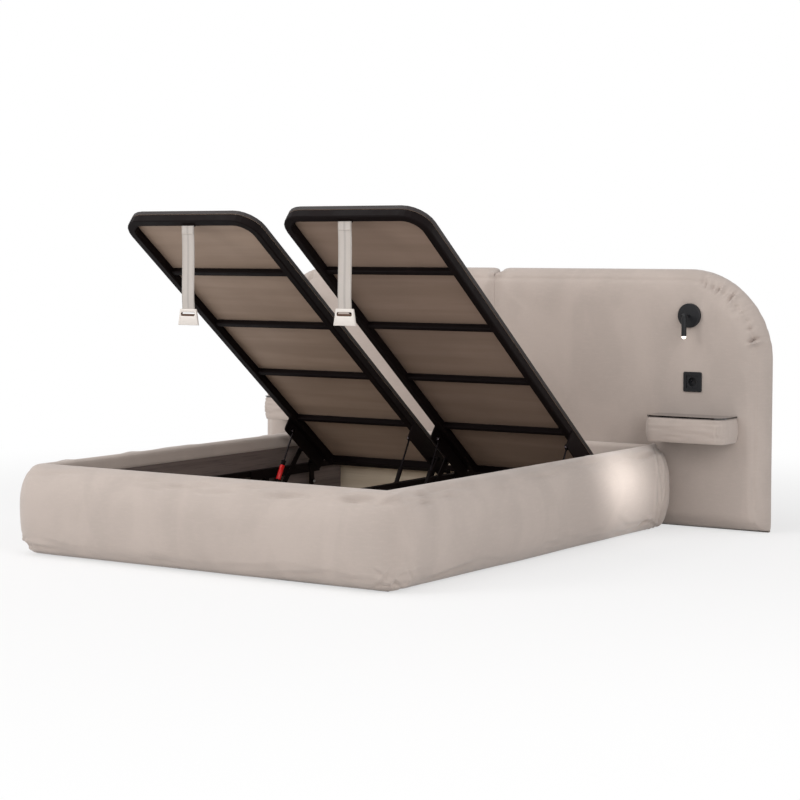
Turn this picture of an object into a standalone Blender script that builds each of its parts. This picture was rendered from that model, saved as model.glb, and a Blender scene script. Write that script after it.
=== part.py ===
"""Upholstered storage bed with two lift-up platforms and a wide padded headboard.

Metres, +Z up. +X is the bed's right side seen from its foot, +Y runs from foot to headboard.
The origin is on the floor, under the middle of the whole bed. At rest both platforms stand open.
"""

import math

import bmesh
import bpy
from mathutils import Vector

# Driving dimensions
RAIL_THICKNESS = 0.128
HEAD_RAIL_THICKNESS = 0.063
RAIL_HEIGHT = 0.365
BASE_CORNER_RADIUS = 0.14
BASE_HEAD_CORNER_RADIUS = 0.10
FLOOR_CLEARANCE = 0.004

HEADBOARD_WIDTH = 2.68
HEADBOARD_HEIGHT = 1.125
HEADBOARD_PADDING = 0.092
HEADBOARD_CORNER_RADIUS = 0.39

PLATFORM_WIDTH = 0.669
PLATFORM_LENGTH = 1.838
PLATFORM_CENTRE_GAP = 0.12
PLATFORM_SIDE_GAP = 0.081
PLATFORM_FOOT_GAP = 0.035
PLATFORM_HEAD_GAP = 0.130
PLATFORM_CORNER_RADIUS = 0.10
TUBE = 0.035
OPEN_ANGLE = math.radians(38.155)
LEFT_OPEN_ANGLE = math.radians(37.576)

# Clearances
TOUCH_GAP = 0.0003
RUN_GAP = 0.0005
CUT_OVERRUN = 0.002
LEAST_RADIUS = 0.001

# Places that follow from the driving dimensions
OPENING_WIDTH = 2 * (PLATFORM_WIDTH + PLATFORM_SIDE_GAP) + PLATFORM_CENTRE_GAP
OPENING_LENGTH = PLATFORM_FOOT_GAP + PLATFORM_LENGTH + PLATFORM_HEAD_GAP
BASE_WIDTH = OPENING_WIDTH + 2 * RAIL_THICKNESS
BASE_LENGTH = OPENING_LENGTH + RAIL_THICKNESS + HEAD_RAIL_THICKNESS
BACK_BOARD = 0.018
JOINING_PLATE = 0.003
TOTAL_DEPTH = BASE_LENGTH + HEADBOARD_PADDING + BACK_BOARD + JOINING_PLATE + 3 * TOUCH_GAP
FOOT_Y = -TOTAL_DEPTH / 2
HEAD_Y = FOOT_Y + BASE_LENGTH
OPENING_FOOT_Y = FOOT_Y + RAIL_THICKNESS
HALF_BASE = BASE_WIDTH / 2
HALF_HEADBOARD = HEADBOARD_WIDTH / 2
HEADBOARD_FRONT_Y = HEAD_Y + TOUCH_GAP
HEADBOARD_BOARD_Y = HEADBOARD_FRONT_Y + HEADBOARD_PADDING + TOUCH_GAP

SHARP_ANGLE = math.radians(35)


def clear_scene():
    for old in list(bpy.data.objects):
        bpy.data.objects.remove(old, do_unlink=True)


def material(name, colour, roughness, metallic=0.0):
    made = bpy.data.materials.new(name)
    made.use_nodes = True
    shader = made.node_tree.nodes["Principled BSDF"]
    shader.inputs["Base Color"].default_value = (*colour, 1.0)
    shader.inputs["Roughness"].default_value = roughness
    shader.inputs["Metallic"].default_value = metallic
    return made


def object_from(name, bm, parent):
    """One object from a bmesh, its faces turned outward, under the empty that carries it."""
    bmesh.ops.recalc_face_normals(bm, faces=bm.faces)
    mesh = bpy.data.meshes.new(name)
    bm.to_mesh(mesh)
    bm.free()
    made = bpy.data.objects.new(name, mesh)
    bpy.context.collection.objects.link(made)
    made.parent = parent
    return made


def finished(name, bm, surface, parent=None, smooth=False):
    made = object_from(name, bm, parent)
    made.data.materials.append(surface)
    if smooth:
        made.data.shade_smooth()
        made.data.set_sharp_from_angle(angle=SHARP_ANGLE)
    return made


def pivot(name, place, angle=0.0):
    """An empty on a joint's axis, turned about X."""
    made = bpy.data.objects.new(name, None)
    bpy.context.collection.objects.link(made)
    made.location = place
    made.rotation_euler = (angle, 0, 0)
    return made


def helper(name, bm, parent=None):
    """A shape that is only cut out of or welded to another one."""
    made = object_from(name, bm, parent)
    made.hide_render = True
    made.display_type = "WIRE"
    return made


def combine(target, operation, tools):
    """Weld the tools to the target, or cut them out of it, with exact Booleans."""
    for tool in tools:
        step = target.modifiers.new(tool.name, "BOOLEAN")
        step.operation = operation
        step.solver = "EXACT"
        step.object = tool


# Solids from outlines and loops
def box(bm, low, high):
    made = []
    for x in (low[0], high[0]):
        for y in (low[1], high[1]):
            made += [bm.verts.new((x, y, z)) for z in (low[2], high[2])]
    for face in ((0, 1, 3, 2), (4, 6, 7, 5), (0, 4, 5, 1), (2, 3, 7, 6), (0, 2, 6, 4), (1, 5, 7, 3)):
        bm.faces.new([made[i] for i in face])


def join_loops(bm, loops, ring=False):
    """Quads between neighbouring loops of as many points, closed into a ring or capped at both ends."""
    rows = [[bm.verts.new(point) for point in loop] for loop in loops]
    count = len(rows[0])
    pairs = list(zip(rows, rows[1:]))
    if ring:
        pairs.append((rows[-1], rows[0]))
    for lower, upper in pairs:
        for i in range(count):
            j = (i + 1) % count
            bm.faces.new((lower[i], lower[j], upper[j], upper[i]))
    if not ring:
        bm.faces.new(rows[0])
        bm.faces.new(rows[-1])


def rounded_outline(low, high, radii, segments):
    """A rectangle's outline with its own radius and number of steps at each corner, anticlockwise."""
    places = ((low[0], low[1]), (high[0], low[1]), (high[0], high[1]), (low[0], high[1]))
    inward = ((1, 1), (-1, 1), (-1, -1), (1, -1))
    points = []
    for corner, place in enumerate(places):
        radius = radii[corner]
        centre = [place[i] + inward[corner][i] * radius for i in (0, 1)]
        start = math.pi + corner * math.pi / 2
        for step in range(segments[corner] + 1):
            angle = start + step / segments[corner] * math.pi / 2
            points.append((centre[0] + radius * math.cos(angle), centre[1] + radius * math.sin(angle)))
    return points


def circle(centre, radius, count):
    turn = 2 * math.pi / count
    angles = [(i + 0.5) * turn for i in range(count)]
    return [(centre[0] + radius * math.cos(a), centre[1] + radius * math.sin(a)) for a in angles]


def in_plane(axis, across, up, along):
    """A point from its two places in the plane square to the axis and its place along the axis."""
    if axis == "X":
        return Vector((along, across, up))
    if axis == "Y":
        return Vector((across, along, up))
    return Vector((across, up, along))


def plate(bm, axis, outline, start, end, holes=()):
    """A flat plate between two places on an axis, with round holes where asked."""
    loops = [outline, *holes]
    if not holes:
        join_loops(bm, [[in_plane(axis, *point, place) for point in outline] for place in (start, end)])
        return
    flat = bmesh.new()
    edges = []
    for loop in loops:
        made = [flat.verts.new(in_plane(axis, *point, start)) for point in loop]
        edges += [flat.edges.new((made[i - 1], made[i])) for i in range(len(made))]
    bmesh.ops.triangle_fill(flat, use_beauty=True, use_dissolve=False, edges=edges)
    far = bmesh.ops.extrude_face_region(flat, geom=list(flat.faces))
    far_verts = [item for item in far["geom"] if isinstance(item, bmesh.types.BMVert)]
    bmesh.ops.translate(flat, vec=in_plane(axis, 0, 0, end - start), verts=far_verts)
    bmesh.ops.recalc_face_normals(flat, faces=flat.faces)
    copied = {vert: bm.verts.new(vert.co) for vert in flat.verts}
    for face in flat.faces:
        bm.faces.new([copied[vert] for vert in face.verts])
    flat.free()


def rod(bm, axis, centre, radius, start, end, count):
    plate(bm, axis, circle(centre, radius, count), start, end)


def turned(bm, axis, centre, rims, count):
    """A solid turned about an axis from (radius, place) rims, closed at both ends."""
    join_loops(bm, rim_loops(axis, centre, rims, count))


def rim_loops(axis, centre, rims, count):
    loops = []
    for radius, along in rims:
        loops.append([in_plane(axis, *point, along) for point in circle(centre, radius, count)])
    return loops


def washer(bm, axis, centre, radius, bore, start, end, count):
    """A disc with a round bore."""
    rims = [(radius, start), (radius, end), (bore, end), (bore, start)]
    join_loops(bm, rim_loops(axis, centre, rims, count), ring=True)


def stadium(start, end, radius, steps):
    """The outline of a bar with round ends, around two places."""
    way = math.atan2(end[1] - start[1], end[0] - start[0])
    points = []
    for place, turn in ((start, way + math.pi / 2), (end, way - math.pi / 2)):
        for step in range(steps + 1):
            angle = turn + step / steps * math.pi
            points.append((place[0] + radius * math.cos(angle), place[1] + radius * math.sin(angle)))
    return points


def tube_section(size, chamfer):
    return rounded_outline((-size / 2, -size / 2), (size / 2, size / 2), [chamfer] * 4, [1] * 4)


def mirrored(side, bm):
    """Turn a piece made for the right-hand side into the piece for the side asked for."""
    if side < 0:
        bmesh.ops.scale(bm, vec=(-1, 1, 1), verts=bm.verts)


# Padded cover of the base
BOARD = 0.018
COVER_FLAP = 0.006
PADDING = RAIL_THICKNESS - COVER_FLAP - BOARD - TOUCH_GAP
HEAD_PADDING = HEAD_RAIL_THICKNESS - COVER_FLAP - BOARD - TOUCH_GAP
FLAP_BOTTOM = 0.300
BELLY_LOW = 0.150
BELLY_HIGH = 0.212
UNDER_TUCK = 0.078
CROWN_INSET = 0.098
CROWN_EDGE = 0.012
CORNER_STEPS = 6
LOW_STEPS = 5
HIGH_STEPS = 6


def cover_profile():
    """The rail's D-shaped section, as insets from the outermost line and heights, from the floor up."""
    points = [(PADDING, FLOOR_CLEARANCE)]
    for step in range(LOW_STEPS + 1):
        angle = step / LOW_STEPS * math.pi / 2
        inset = UNDER_TUCK * (1 - math.sin(angle))
        points.append((inset, BELLY_LOW - (BELLY_LOW - FLOOR_CLEARANCE) * math.cos(angle)))
    for step in range(HIGH_STEPS + 1):
        angle = step / HIGH_STEPS * math.pi / 2
        inset = CROWN_INSET * (1 - math.cos(angle))
        points.append((inset, BELLY_HIGH + (RAIL_HEIGHT - BELLY_HIGH) * math.sin(angle)))
    points.append((RAIL_THICKNESS - CROWN_EDGE, RAIL_HEIGHT - CROWN_EDGE / 4))
    points.append((RAIL_THICKNESS, RAIL_HEIGHT - CROWN_EDGE))
    points.append((RAIL_THICKNESS, FLAP_BOTTOM))
    points.append((PADDING, FLAP_BOTTOM))
    return points


def head_inset(inset):
    """The same inset on the head side, whose padding is thinner."""
    if inset <= PADDING:
        return inset * HEAD_PADDING / PADDING
    return HEAD_PADDING + inset - PADDING


def base_padding(fabric):
    loops = []
    for inset, height in cover_profile():
        share = max(1 - inset / PADDING, LEAST_RADIUS / BASE_HEAD_CORNER_RADIUS)
        radii = [share * BASE_CORNER_RADIUS] * 2 + [share * BASE_HEAD_CORNER_RADIUS] * 2
        low = (-HALF_BASE + inset, FOOT_Y + inset)
        high = (HALF_BASE - inset, HEAD_Y - head_inset(inset))
        outline = rounded_outline(low, high, radii, [CORNER_STEPS] * 4)
        loops.append([Vector((x, y, height)) for x, y in outline])
    bm = bmesh.new()
    join_loops(bm, loops, ring=True)
    finished("base_padding", bm, fabric, smooth=True)


# Boards of the box
BOARD_END_GAP = 0.002
BOARD_TOP = FLAP_BOTTOM - TOUCH_GAP
SIDE_BOARD_X = HALF_BASE - PADDING - TOUCH_GAP
SIDE_INNER_X = SIDE_BOARD_X - BOARD
FOOT_BOARD_Y = FOOT_Y + PADDING + TOUCH_GAP
FOOT_INNER_Y = FOOT_BOARD_Y + BOARD
HEAD_BOARD_Y = HEAD_Y - HEAD_PADDING - TOUCH_GAP
HEAD_INNER_Y = HEAD_BOARD_Y - BOARD
FLOOR_PANEL = 0.010
FLOOR_BATTEN_HEIGHT = 0.020
FLOOR_BATTEN_WIDTH = 0.100
FLOOR_PANEL_BOTTOM = FLOOR_BATTEN_HEIGHT + TOUCH_GAP
FLOOR_PANEL_TOP = FLOOR_PANEL_BOTTOM + FLOOR_PANEL


def box_boards(lining):
    for side, name in ((-1, "left_side_board"), (1, "right_side_board")):
        bm = bmesh.new()
        low = (SIDE_INNER_X, FOOT_BOARD_Y + BOARD_END_GAP, 0)
        box(bm, low, (SIDE_BOARD_X, HEAD_BOARD_Y - BOARD_END_GAP, BOARD_TOP))
        mirrored(side, bm)
        finished(name, bm, lining)
    reach = SIDE_INNER_X - TOUCH_GAP
    for name, near in (("foot_board", FOOT_BOARD_Y), ("head_board", HEAD_INNER_Y)):
        bm = bmesh.new()
        box(bm, (-reach, near, 0), (reach, near + BOARD, BOARD_TOP))
        finished(name, bm, lining)


def rectangle(low, high):
    return [low, (high[0], low[1]), high, (low[0], high[1])]


def box_floor(panel_board, wood):
    near, far = FOOT_INNER_Y + TOUCH_GAP, HEAD_INNER_Y - TOUCH_GAP
    for side, name in ((-1, "left_floor_panel"), (1, "right_floor_panel")):
        bm = bmesh.new()
        box(bm, (TOUCH_GAP / 2, near, FLOOR_PANEL_BOTTOM), (SIDE_INNER_X - TOUCH_GAP, far, FLOOR_PANEL_TOP))
        mirrored(side, bm)
        finished(name, bm, panel_board)
    bm = bmesh.new()
    box(bm, (-FLOOR_BATTEN_WIDTH / 2, near, 0), (FLOOR_BATTEN_WIDTH / 2, far, FLOOR_BATTEN_HEIGHT))
    finished("floor_batten", bm, wood)


# Steel ledge frame inside the box
LEDGE_TUBE = 0.025
LEDGE_WALL = 0.0015
LEDGE_TOP = 0.215
LEDGE_BOTTOM = LEDGE_TOP - LEDGE_TUBE
FOOT_LEDGE_WIDTH = 0.055
LEDGE_INNER_X = SIDE_INNER_X - TOUCH_GAP - LEDGE_TUBE
FOOT_LEDGE_START = FOOT_INNER_Y + TOUCH_GAP
FOOT_LEDGE_END = FOOT_LEDGE_START + FOOT_LEDGE_WIDTH
HEAD_LEDGE_END = HEAD_INNER_Y - TOUCH_GAP
HEAD_LEDGE_START = HEAD_LEDGE_END - LEDGE_TUBE
HALF_BEAM = 0.0125
POST_WIDTH = 0.022
POST_SHARES = (0.14, 0.42, 0.70)
PAD_HEIGHT = 0.003
PAD_LENGTH = 0.30


def ledge_layer(bm, inset, low, high):
    """The ledge frame's plan with two open fields, thinned by an inset, between two heights."""
    reach = LEDGE_INNER_X + LEDGE_TUBE - inset
    outline = rectangle((-reach, FOOT_LEDGE_START + inset), (reach, HEAD_LEDGE_END - inset))
    holes = []
    for side in (-1, 1):
        near, far = sorted((side * (HALF_BEAM - inset), side * (LEDGE_INNER_X + inset)))
        holes.append(rectangle((near, FOOT_LEDGE_END - inset), (far, HEAD_LEDGE_START + inset)))
    plate(bm, "Z", outline, low, high, holes)


def ledge_frame(black_steel):
    bm = bmesh.new()
    ledge_layer(bm, 0, LEDGE_BOTTOM, LEDGE_TOP)
    made = finished("ledge_frame", bm, black_steel)
    bore = bmesh.new()
    ledge_layer(bore, LEDGE_WALL, LEDGE_BOTTOM + LEDGE_WALL, LEDGE_TOP - LEDGE_WALL)
    posts = bmesh.new()
    post_bores = bmesh.new()
    foot = FLOOR_PANEL_TOP + TOUCH_GAP
    for middle_x in (-LEDGE_INNER_X - LEDGE_TUBE / 2, 0, LEDGE_INNER_X + LEDGE_TUBE / 2):
        for share in POST_SHARES:
            middle_y = FOOT_LEDGE_END + share * (HEAD_LEDGE_START - FOOT_LEDGE_END)
            for shape, half, start, end in (
                (posts, POST_WIDTH / 2, foot, LEDGE_BOTTOM + LEDGE_WALL / 2),
                (post_bores, POST_WIDTH / 2 - LEDGE_WALL, foot - CUT_OVERRUN, LEDGE_BOTTOM + LEDGE_TUBE / 2),
            ):
                low = (middle_x - half, middle_y - half, start)
                box(shape, low, (middle_x + half, middle_y + half, end))
    combine(made, "UNION", [helper("ledge_posts", posts)])
    combine(made, "DIFFERENCE", [helper("ledge_bore", bore), helper("post_bores", post_bores)])


def rest_pads(rubber):
    for side, name in ((-1, "left_rest_pad"), (1, "right_rest_pad")):
        bm = bmesh.new()
        low = (PLATFORM_MIDDLE_X - PAD_LENGTH / 2, FOOT_LEDGE_START + TOUCH_GAP, LEDGE_TOP + TOUCH_GAP)
        box(bm, low, (low[0] + PAD_LENGTH, FOOT_LEDGE_END, low[2] + PAD_HEIGHT))
        mirrored(side, bm)
        finished(name, bm, rubber)


# Headboard
SEAM_GAP = 0.001
SMALL_CORNER = 0.022
EDGE_WIDTH = 0.100
EDGE_SIDE = 0.026
EDGE_STEPS = 6
SEAM_EDGE_SHARE = 0.5
CORNER_ARC_STEPS = 10
SMALL_ARC_STEPS = 3
PLATE_ARC_STEPS = 2
BOARD_INSET = 0.012
JOINING_PLATE_WIDTH = 0.16
JOINING_PLATE_LOW = 0.25
JOINING_PLATE_HIGH = 0.85
JOINING_PLATE_CORNER = 0.01


def headboard_outline(inset):
    """The right-hand panel's outline seen from the foot; its edge is tighter along the middle seam."""
    low = (SEAM_GAP / 2 + inset * SEAM_EDGE_SHARE, FLOOR_CLEARANCE + inset)
    high = (HALF_HEADBOARD - inset, HEADBOARD_HEIGHT - inset)
    small = max(SMALL_CORNER - inset, LEAST_RADIUS)
    radii = [small, small, HEADBOARD_CORNER_RADIUS - inset, small]
    steps = [SMALL_ARC_STEPS, SMALL_ARC_STEPS, CORNER_ARC_STEPS, SMALL_ARC_STEPS]
    return rounded_outline(low, high, radii, steps)


def headboard_panel(side, name, fabric):
    back = HEADBOARD_FRONT_Y + HEADBOARD_PADDING
    loops = []
    loops.append([Vector((x, back, z)) for x, z in headboard_outline(0)])
    for step in range(EDGE_STEPS + 1):
        angle = step / EDGE_STEPS * math.pi / 2
        inset = EDGE_WIDTH * (1 - math.cos(angle))
        depth = EDGE_SIDE + (HEADBOARD_PADDING - EDGE_SIDE) * math.sin(angle)
        loops.append([Vector((x, back - depth, z)) for x, z in headboard_outline(inset)])
    bm = bmesh.new()
    join_loops(bm, loops)
    mirrored(side, bm)
    made = finished(name + "_headboard_padding", bm, fabric, smooth=True)
    combine(made, "DIFFERENCE", [socket_pocket(side, name)])


def headboard_boards(back_fabric, zinc_steel):
    for side, name in ((-1, "left"), (1, "right")):
        bm = bmesh.new()
        outline = [(x, 0 if z < SMALL_CORNER else z) for x, z in headboard_outline(BOARD_INSET)]
        plate(bm, "Y", outline, HEADBOARD_BOARD_Y, HEADBOARD_BOARD_Y + BACK_BOARD)
        mirrored(side, bm)
        finished(name + "_headboard_board", bm, back_fabric)
    bm = bmesh.new()
    seat = HEADBOARD_BOARD_Y + BACK_BOARD + TOUCH_GAP
    half = JOINING_PLATE_WIDTH / 2
    low, high = (-half, JOINING_PLATE_LOW), (half, JOINING_PLATE_HIGH)
    outline = rounded_outline(low, high, [JOINING_PLATE_CORNER] * 4, [PLATE_ARC_STEPS] * 4)
    plate(bm, "Y", outline, seat, seat + JOINING_PLATE)
    finished("headboard_joining_plate", bm, zinc_steel)


# Heights and side distances of the shelf, the socket and the lamp on the headboard
SHELF_FROM_SIDE = 0.3075
SHELF_BOTTOM = 0.387
SHELF_HEIGHT = 0.108
SHELF_TOP_THICKNESS = 0.006
LAMP_FROM_SIDE = 0.348
LAMP_FROM_TOP = 0.198
SOCKET_FROM_SIDE = 0.332
SOCKET_RISE_SHARE = 0.3286385
SHELF_X = HALF_HEADBOARD - SHELF_FROM_SIDE
LAMP_X = HALF_HEADBOARD - LAMP_FROM_SIDE
SOCKET_X = HALF_HEADBOARD - SOCKET_FROM_SIDE
SHELF_SURFACE = SHELF_BOTTOM + SHELF_HEIGHT + SHELF_TOP_THICKNESS
LAMP_HEIGHT = HEADBOARD_HEIGHT - LAMP_FROM_TOP
SOCKET_HEIGHT = SHELF_SURFACE + SOCKET_RISE_SHARE * (LAMP_HEIGHT - SHELF_SURFACE)

# Wall socket on each side of the headboard
SOCKET_FRAME = 0.086
SOCKET_FRAME_DEPTH = 0.009
SOCKET_FRAME_CORNER = 0.006
SOCKET_INSERT = 0.055
SOCKET_INSERT_PROUD = 0.006
SOCKET_RECESS_RADIUS = 0.0195
SOCKET_RECESS_DEPTH = 0.015
SOCKET_BACK = 0.005
SOCKET_PIN_RADIUS = 0.0025
SOCKET_PIN_SPACING = 0.019
SOCKET_POCKET = 0.057
SOCKET_RECESS_SIDES = 20
SOCKET_PIN_SIDES = 8


def socket_pocket(side, name):
    bm = bmesh.new()
    middle = side * SOCKET_X
    half = SOCKET_POCKET / 2
    depth = SOCKET_RECESS_DEPTH - SOCKET_INSERT_PROUD + SOCKET_BACK + TOUCH_GAP
    low = (middle - half, HEADBOARD_FRONT_Y - CUT_OVERRUN, SOCKET_HEIGHT - half)
    box(bm, low, (middle + half, HEADBOARD_FRONT_Y + depth, SOCKET_HEIGHT + half))
    return helper(name + "_socket_pocket", bm)


def socket(side, name, black_plastic):
    middle = (side * SOCKET_X, SOCKET_HEIGHT)

    def square(size, corner, steps):
        low = (middle[0] - size / 2, middle[1] - size / 2)
        return rounded_outline(low, (low[0] + size, low[1] + size), [corner] * 4, [steps] * 4)

    bm = bmesh.new()
    seat = HEADBOARD_FRONT_Y - TOUCH_GAP
    hole = SOCKET_INSERT + 2 * TOUCH_GAP
    rims = [
        (SOCKET_FRAME, SOCKET_FRAME_CORNER, seat),
        (SOCKET_FRAME, SOCKET_FRAME_CORNER, seat - SOCKET_FRAME_DEPTH * 2 / 3),
        (SOCKET_FRAME - SOCKET_FRAME_DEPTH / 2, SOCKET_FRAME_CORNER * 3 / 4, seat - SOCKET_FRAME_DEPTH),
        (hole, SOCKET_FRAME_CORNER / 4, seat - SOCKET_FRAME_DEPTH),
        (hole, SOCKET_FRAME_CORNER / 4, seat),
    ]
    loops = []
    for size, corner, along in rims:
        loops.append([in_plane("Y", *point, along) for point in square(size, corner, PLATE_ARC_STEPS)])
    join_loops(bm, loops, ring=True)
    finished(name + "_socket_frame", bm, black_plastic)
    bm = bmesh.new()
    front = HEADBOARD_FRONT_Y - SOCKET_INSERT_PROUD
    floor = front + SOCKET_RECESS_DEPTH
    plate(bm, "Y", square(SOCKET_INSERT, SOCKET_FRAME_CORNER / 4, 1), front, floor + SOCKET_BACK)
    made = finished(name + "_socket_insert", bm, black_plastic)
    recess = bmesh.new()
    rod(recess, "Y", middle, SOCKET_RECESS_RADIUS, front - CUT_OVERRUN, floor, SOCKET_RECESS_SIDES)
    holes = bmesh.new()
    through = (floor - CUT_OVERRUN, floor + SOCKET_BACK + CUT_OVERRUN)
    for way in (-1, 1):
        place = (middle[0] + way * SOCKET_PIN_SPACING / 2, middle[1])
        rod(holes, "Y", place, SOCKET_PIN_RADIUS, *through, SOCKET_PIN_SIDES)
    tools = [helper(name + "_socket_recess", recess), helper(name + "_socket_holes", holes)]
    combine(made, "DIFFERENCE", tools)


# Reading lamp on each side
ROSE_RADIUS = 0.0525
ROSE_DEPTH = 0.018
ROSE_EDGE = 0.003
LAMP_REACH = 0.060
ARM_RADIUS = 0.006
YOKE_HEIGHT = 0.010
YOKE_CHEEK = 0.003
HEAD_RADIUS = 0.011
HEAD_LENGTH = 0.090
HEAD_DOME_STEPS = 4
HEAD_SIDES = 16
ROSE_SIDES = 28
ARM_SIDES = 12
LENS_RADIUS = 0.0095
LENS_DEPTH = 0.003


def reading_lamp(side, name, black_metal, lens_glass):
    place = (side * LAMP_X, LAMP_HEIGHT)
    seat = HEADBOARD_FRONT_Y - TOUCH_GAP
    front = seat - ROSE_DEPTH
    bm = bmesh.new()
    rims = [(ROSE_RADIUS, seat), (ROSE_RADIUS, front + ROSE_EDGE), (ROSE_RADIUS - ROSE_EDGE, front)]
    turned(bm, "Y", place, rims, ROSE_SIDES)
    finished(name + "_lamp_rose", bm, black_metal, smooth=True)
    swivel = pivot(name + "_lamp_swivel", (place[0], front, place[1]))
    tilt_y = HEADBOARD_FRONT_Y - LAMP_REACH
    bm = bmesh.new()
    cheek = HEAD_RADIUS + RUN_GAP
    yoke_back = tilt_y + cheek + YOKE_CHEEK - front
    stem = bmesh.new()
    stem_rims = [(ARM_RADIUS, -TOUCH_GAP), (ARM_RADIUS, yoke_back - YOKE_CHEEK / 2)]
    turned(stem, "Y", (0, 0), stem_rims, ARM_SIDES)
    centre_y = tilt_y - front
    outline = [
        (-cheek - YOKE_CHEEK, yoke_back),
        (-cheek - YOKE_CHEEK, centre_y - YOKE_HEIGHT / 2),
        (-cheek, centre_y - YOKE_HEIGHT / 2),
        (-cheek, yoke_back - YOKE_CHEEK),
        (cheek, yoke_back - YOKE_CHEEK),
        (cheek, centre_y - YOKE_HEIGHT / 2),
        (cheek + YOKE_CHEEK, centre_y - YOKE_HEIGHT / 2),
        (cheek + YOKE_CHEEK, yoke_back),
    ]
    plate(bm, "Z", outline, -YOKE_HEIGHT / 2, YOKE_HEIGHT / 2)
    made = finished(name + "_lamp_arm", bm, black_metal, swivel)
    combine(made, "UNION", [helper(name + "_lamp_stem", stem, swivel)])
    tilt = pivot(name + "_lamp_tilt", (place[0], tilt_y, place[1]))
    bm = bmesh.new()
    rims = []
    for step in range(1, HEAD_DOME_STEPS + 1):
        angle = step / HEAD_DOME_STEPS * math.pi / 2
        rims.append((HEAD_RADIUS * math.sin(angle), HEAD_RADIUS * math.cos(angle)))
    rims.append((HEAD_RADIUS, LENS_DEPTH - HEAD_LENGTH))
    turned(bm, "Z", (0, 0), rims, HEAD_SIDES)
    finished(name + "_lamp_head", bm, black_metal, tilt, smooth=True)
    bm = bmesh.new()
    rims = [(LENS_RADIUS, LENS_DEPTH - HEAD_LENGTH - TOUCH_GAP), (LENS_RADIUS * 3 / 4, -HEAD_LENGTH)]
    turned(bm, "Z", (0, 0), rims, HEAD_SIDES)
    finished(name + "_lamp_lens", bm, lens_glass, tilt, smooth=True)


# Padded bedside shelf on each side
SHELF_WIDTH = 0.385
SHELF_DEPTH = 0.15
SHELF_PADDING = 0.020
SHELF_CORNER = 0.045
SHELF_BULGE = 0.010
SHELF_TOP_INSET = 0.006
SHELF_BACK_PADDING = 0.003
SHELF_ARC_STEPS = 4


def shelf_outline(inset):
    """Plan outline of the right-hand shelf; the back lies flat against the headboard."""
    low = (SHELF_X - SHELF_WIDTH / 2 + inset, HEADBOARD_FRONT_Y - TOUCH_GAP - SHELF_DEPTH + inset)
    back_inset = inset * SHELF_BACK_PADDING / SHELF_PADDING
    high = (SHELF_X + SHELF_WIDTH / 2 - inset, HEADBOARD_FRONT_Y - TOUCH_GAP - back_inset)
    radii = [max(SHELF_CORNER - inset, LEAST_RADIUS)] * 2 + [LEAST_RADIUS] * 2
    return rounded_outline(low, high, radii, [SHELF_ARC_STEPS, SHELF_ARC_STEPS, 1, 1])


def shelf(side, name, fabric, dark_top):
    top = SHELF_BOTTOM + SHELF_HEIGHT
    bm = bmesh.new()
    section = [
        (SHELF_PADDING, SHELF_BOTTOM),
        (SHELF_BULGE, SHELF_BOTTOM),
        (SHELF_BULGE / 4, SHELF_BOTTOM + SHELF_HEIGHT / 5),
        (0, SHELF_BOTTOM + SHELF_HEIGHT / 2),
        (SHELF_BULGE / 4, top - SHELF_HEIGHT / 5),
        (SHELF_BULGE, top),
        (SHELF_PADDING, top),
    ]
    loops = [[Vector((x, y, height)) for x, y in shelf_outline(inset)] for inset, height in section]
    join_loops(bm, loops, ring=True)
    mirrored(side, bm)
    finished(name + "_shelf_padding", bm, fabric, smooth=True)
    bm = bmesh.new()
    core = shelf_outline(SHELF_PADDING + TOUCH_GAP)
    lid = shelf_outline(SHELF_TOP_INSET)
    seat = top + TOUCH_GAP
    rims = [(core, SHELF_BOTTOM), (core, seat), (lid, seat), (lid, top + SHELF_TOP_THICKNESS)]
    join_loops(bm, [[Vector((x, y, height)) for x, y in outline] for outline, height in rims])
    mirrored(side, bm)
    finished(name + "_shelf_board", bm, dark_top)


# Lift geometry, in the plane of foot-to-head and up
PLATFORM_INNER_X = PLATFORM_CENTRE_GAP / 2
PLATFORM_OUTER_X = PLATFORM_INNER_X + PLATFORM_WIDTH
PLATFORM_MIDDLE_X = PLATFORM_INNER_X + PLATFORM_WIDTH / 2
OPEN_HEAD_BEFORE_OPENING_END = 0.2057
OPEN_HEAD_HEIGHT = 0.2177
PIN_DROP = 0.045
STRUT_PIN_DROP = 0.055
REAR_PIN = 0.065
FRONT_PIN = 0.167
STRUT_PIN = 0.347
REAR_BASE_HEIGHT = 0.130
FRONT_BASE_HEIGHT = 0.100
STRUT_BASE_HEIGHT = 0.075
STRUT_BASE_BEHIND_FRONT = 0.161

OPENING_HEAD_Y = OPENING_FOOT_Y + OPENING_LENGTH
CLOSED_TUBE_HEIGHT = LEDGE_TOP + TOUCH_GAP + PAD_HEIGHT + TOUCH_GAP + TUBE / 2
CLOSED_HEAD = Vector((OPENING_FOOT_Y + PLATFORM_FOOT_GAP + PLATFORM_LENGTH, CLOSED_TUBE_HEIGHT))
OPEN_HEAD = Vector((OPENING_HEAD_Y - OPEN_HEAD_BEFORE_OPENING_END, OPEN_HEAD_HEIGHT))


def turned_place(place, angle):
    return Vector((
        place[0] * math.cos(angle) - place[1] * math.sin(angle),
        place[0] * math.sin(angle) + place[1] * math.cos(angle),
    ))


def on_platform(along, drop, opened):
    """A place beside the platform, from its head end towards its foot and down from the tube's middle."""
    head = OPEN_HEAD if opened else CLOSED_HEAD
    return head + turned_place(Vector((-along, -drop)), -OPEN_ANGLE if opened else 0)


def base_pin(along, height):
    """Where a link's lower pin is at a height so that the link fits both the open and the closed platform."""
    opened, closed = on_platform(along, PIN_DROP, True), on_platform(along, PIN_DROP, False)
    middle, way = (opened + closed) / 2, closed - opened
    return Vector((middle[0] - (height - middle[1]) * way[1] / way[0], height))


def heading(start, end):
    return math.atan2(end[1] - start[1], end[0] - start[0])


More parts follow.
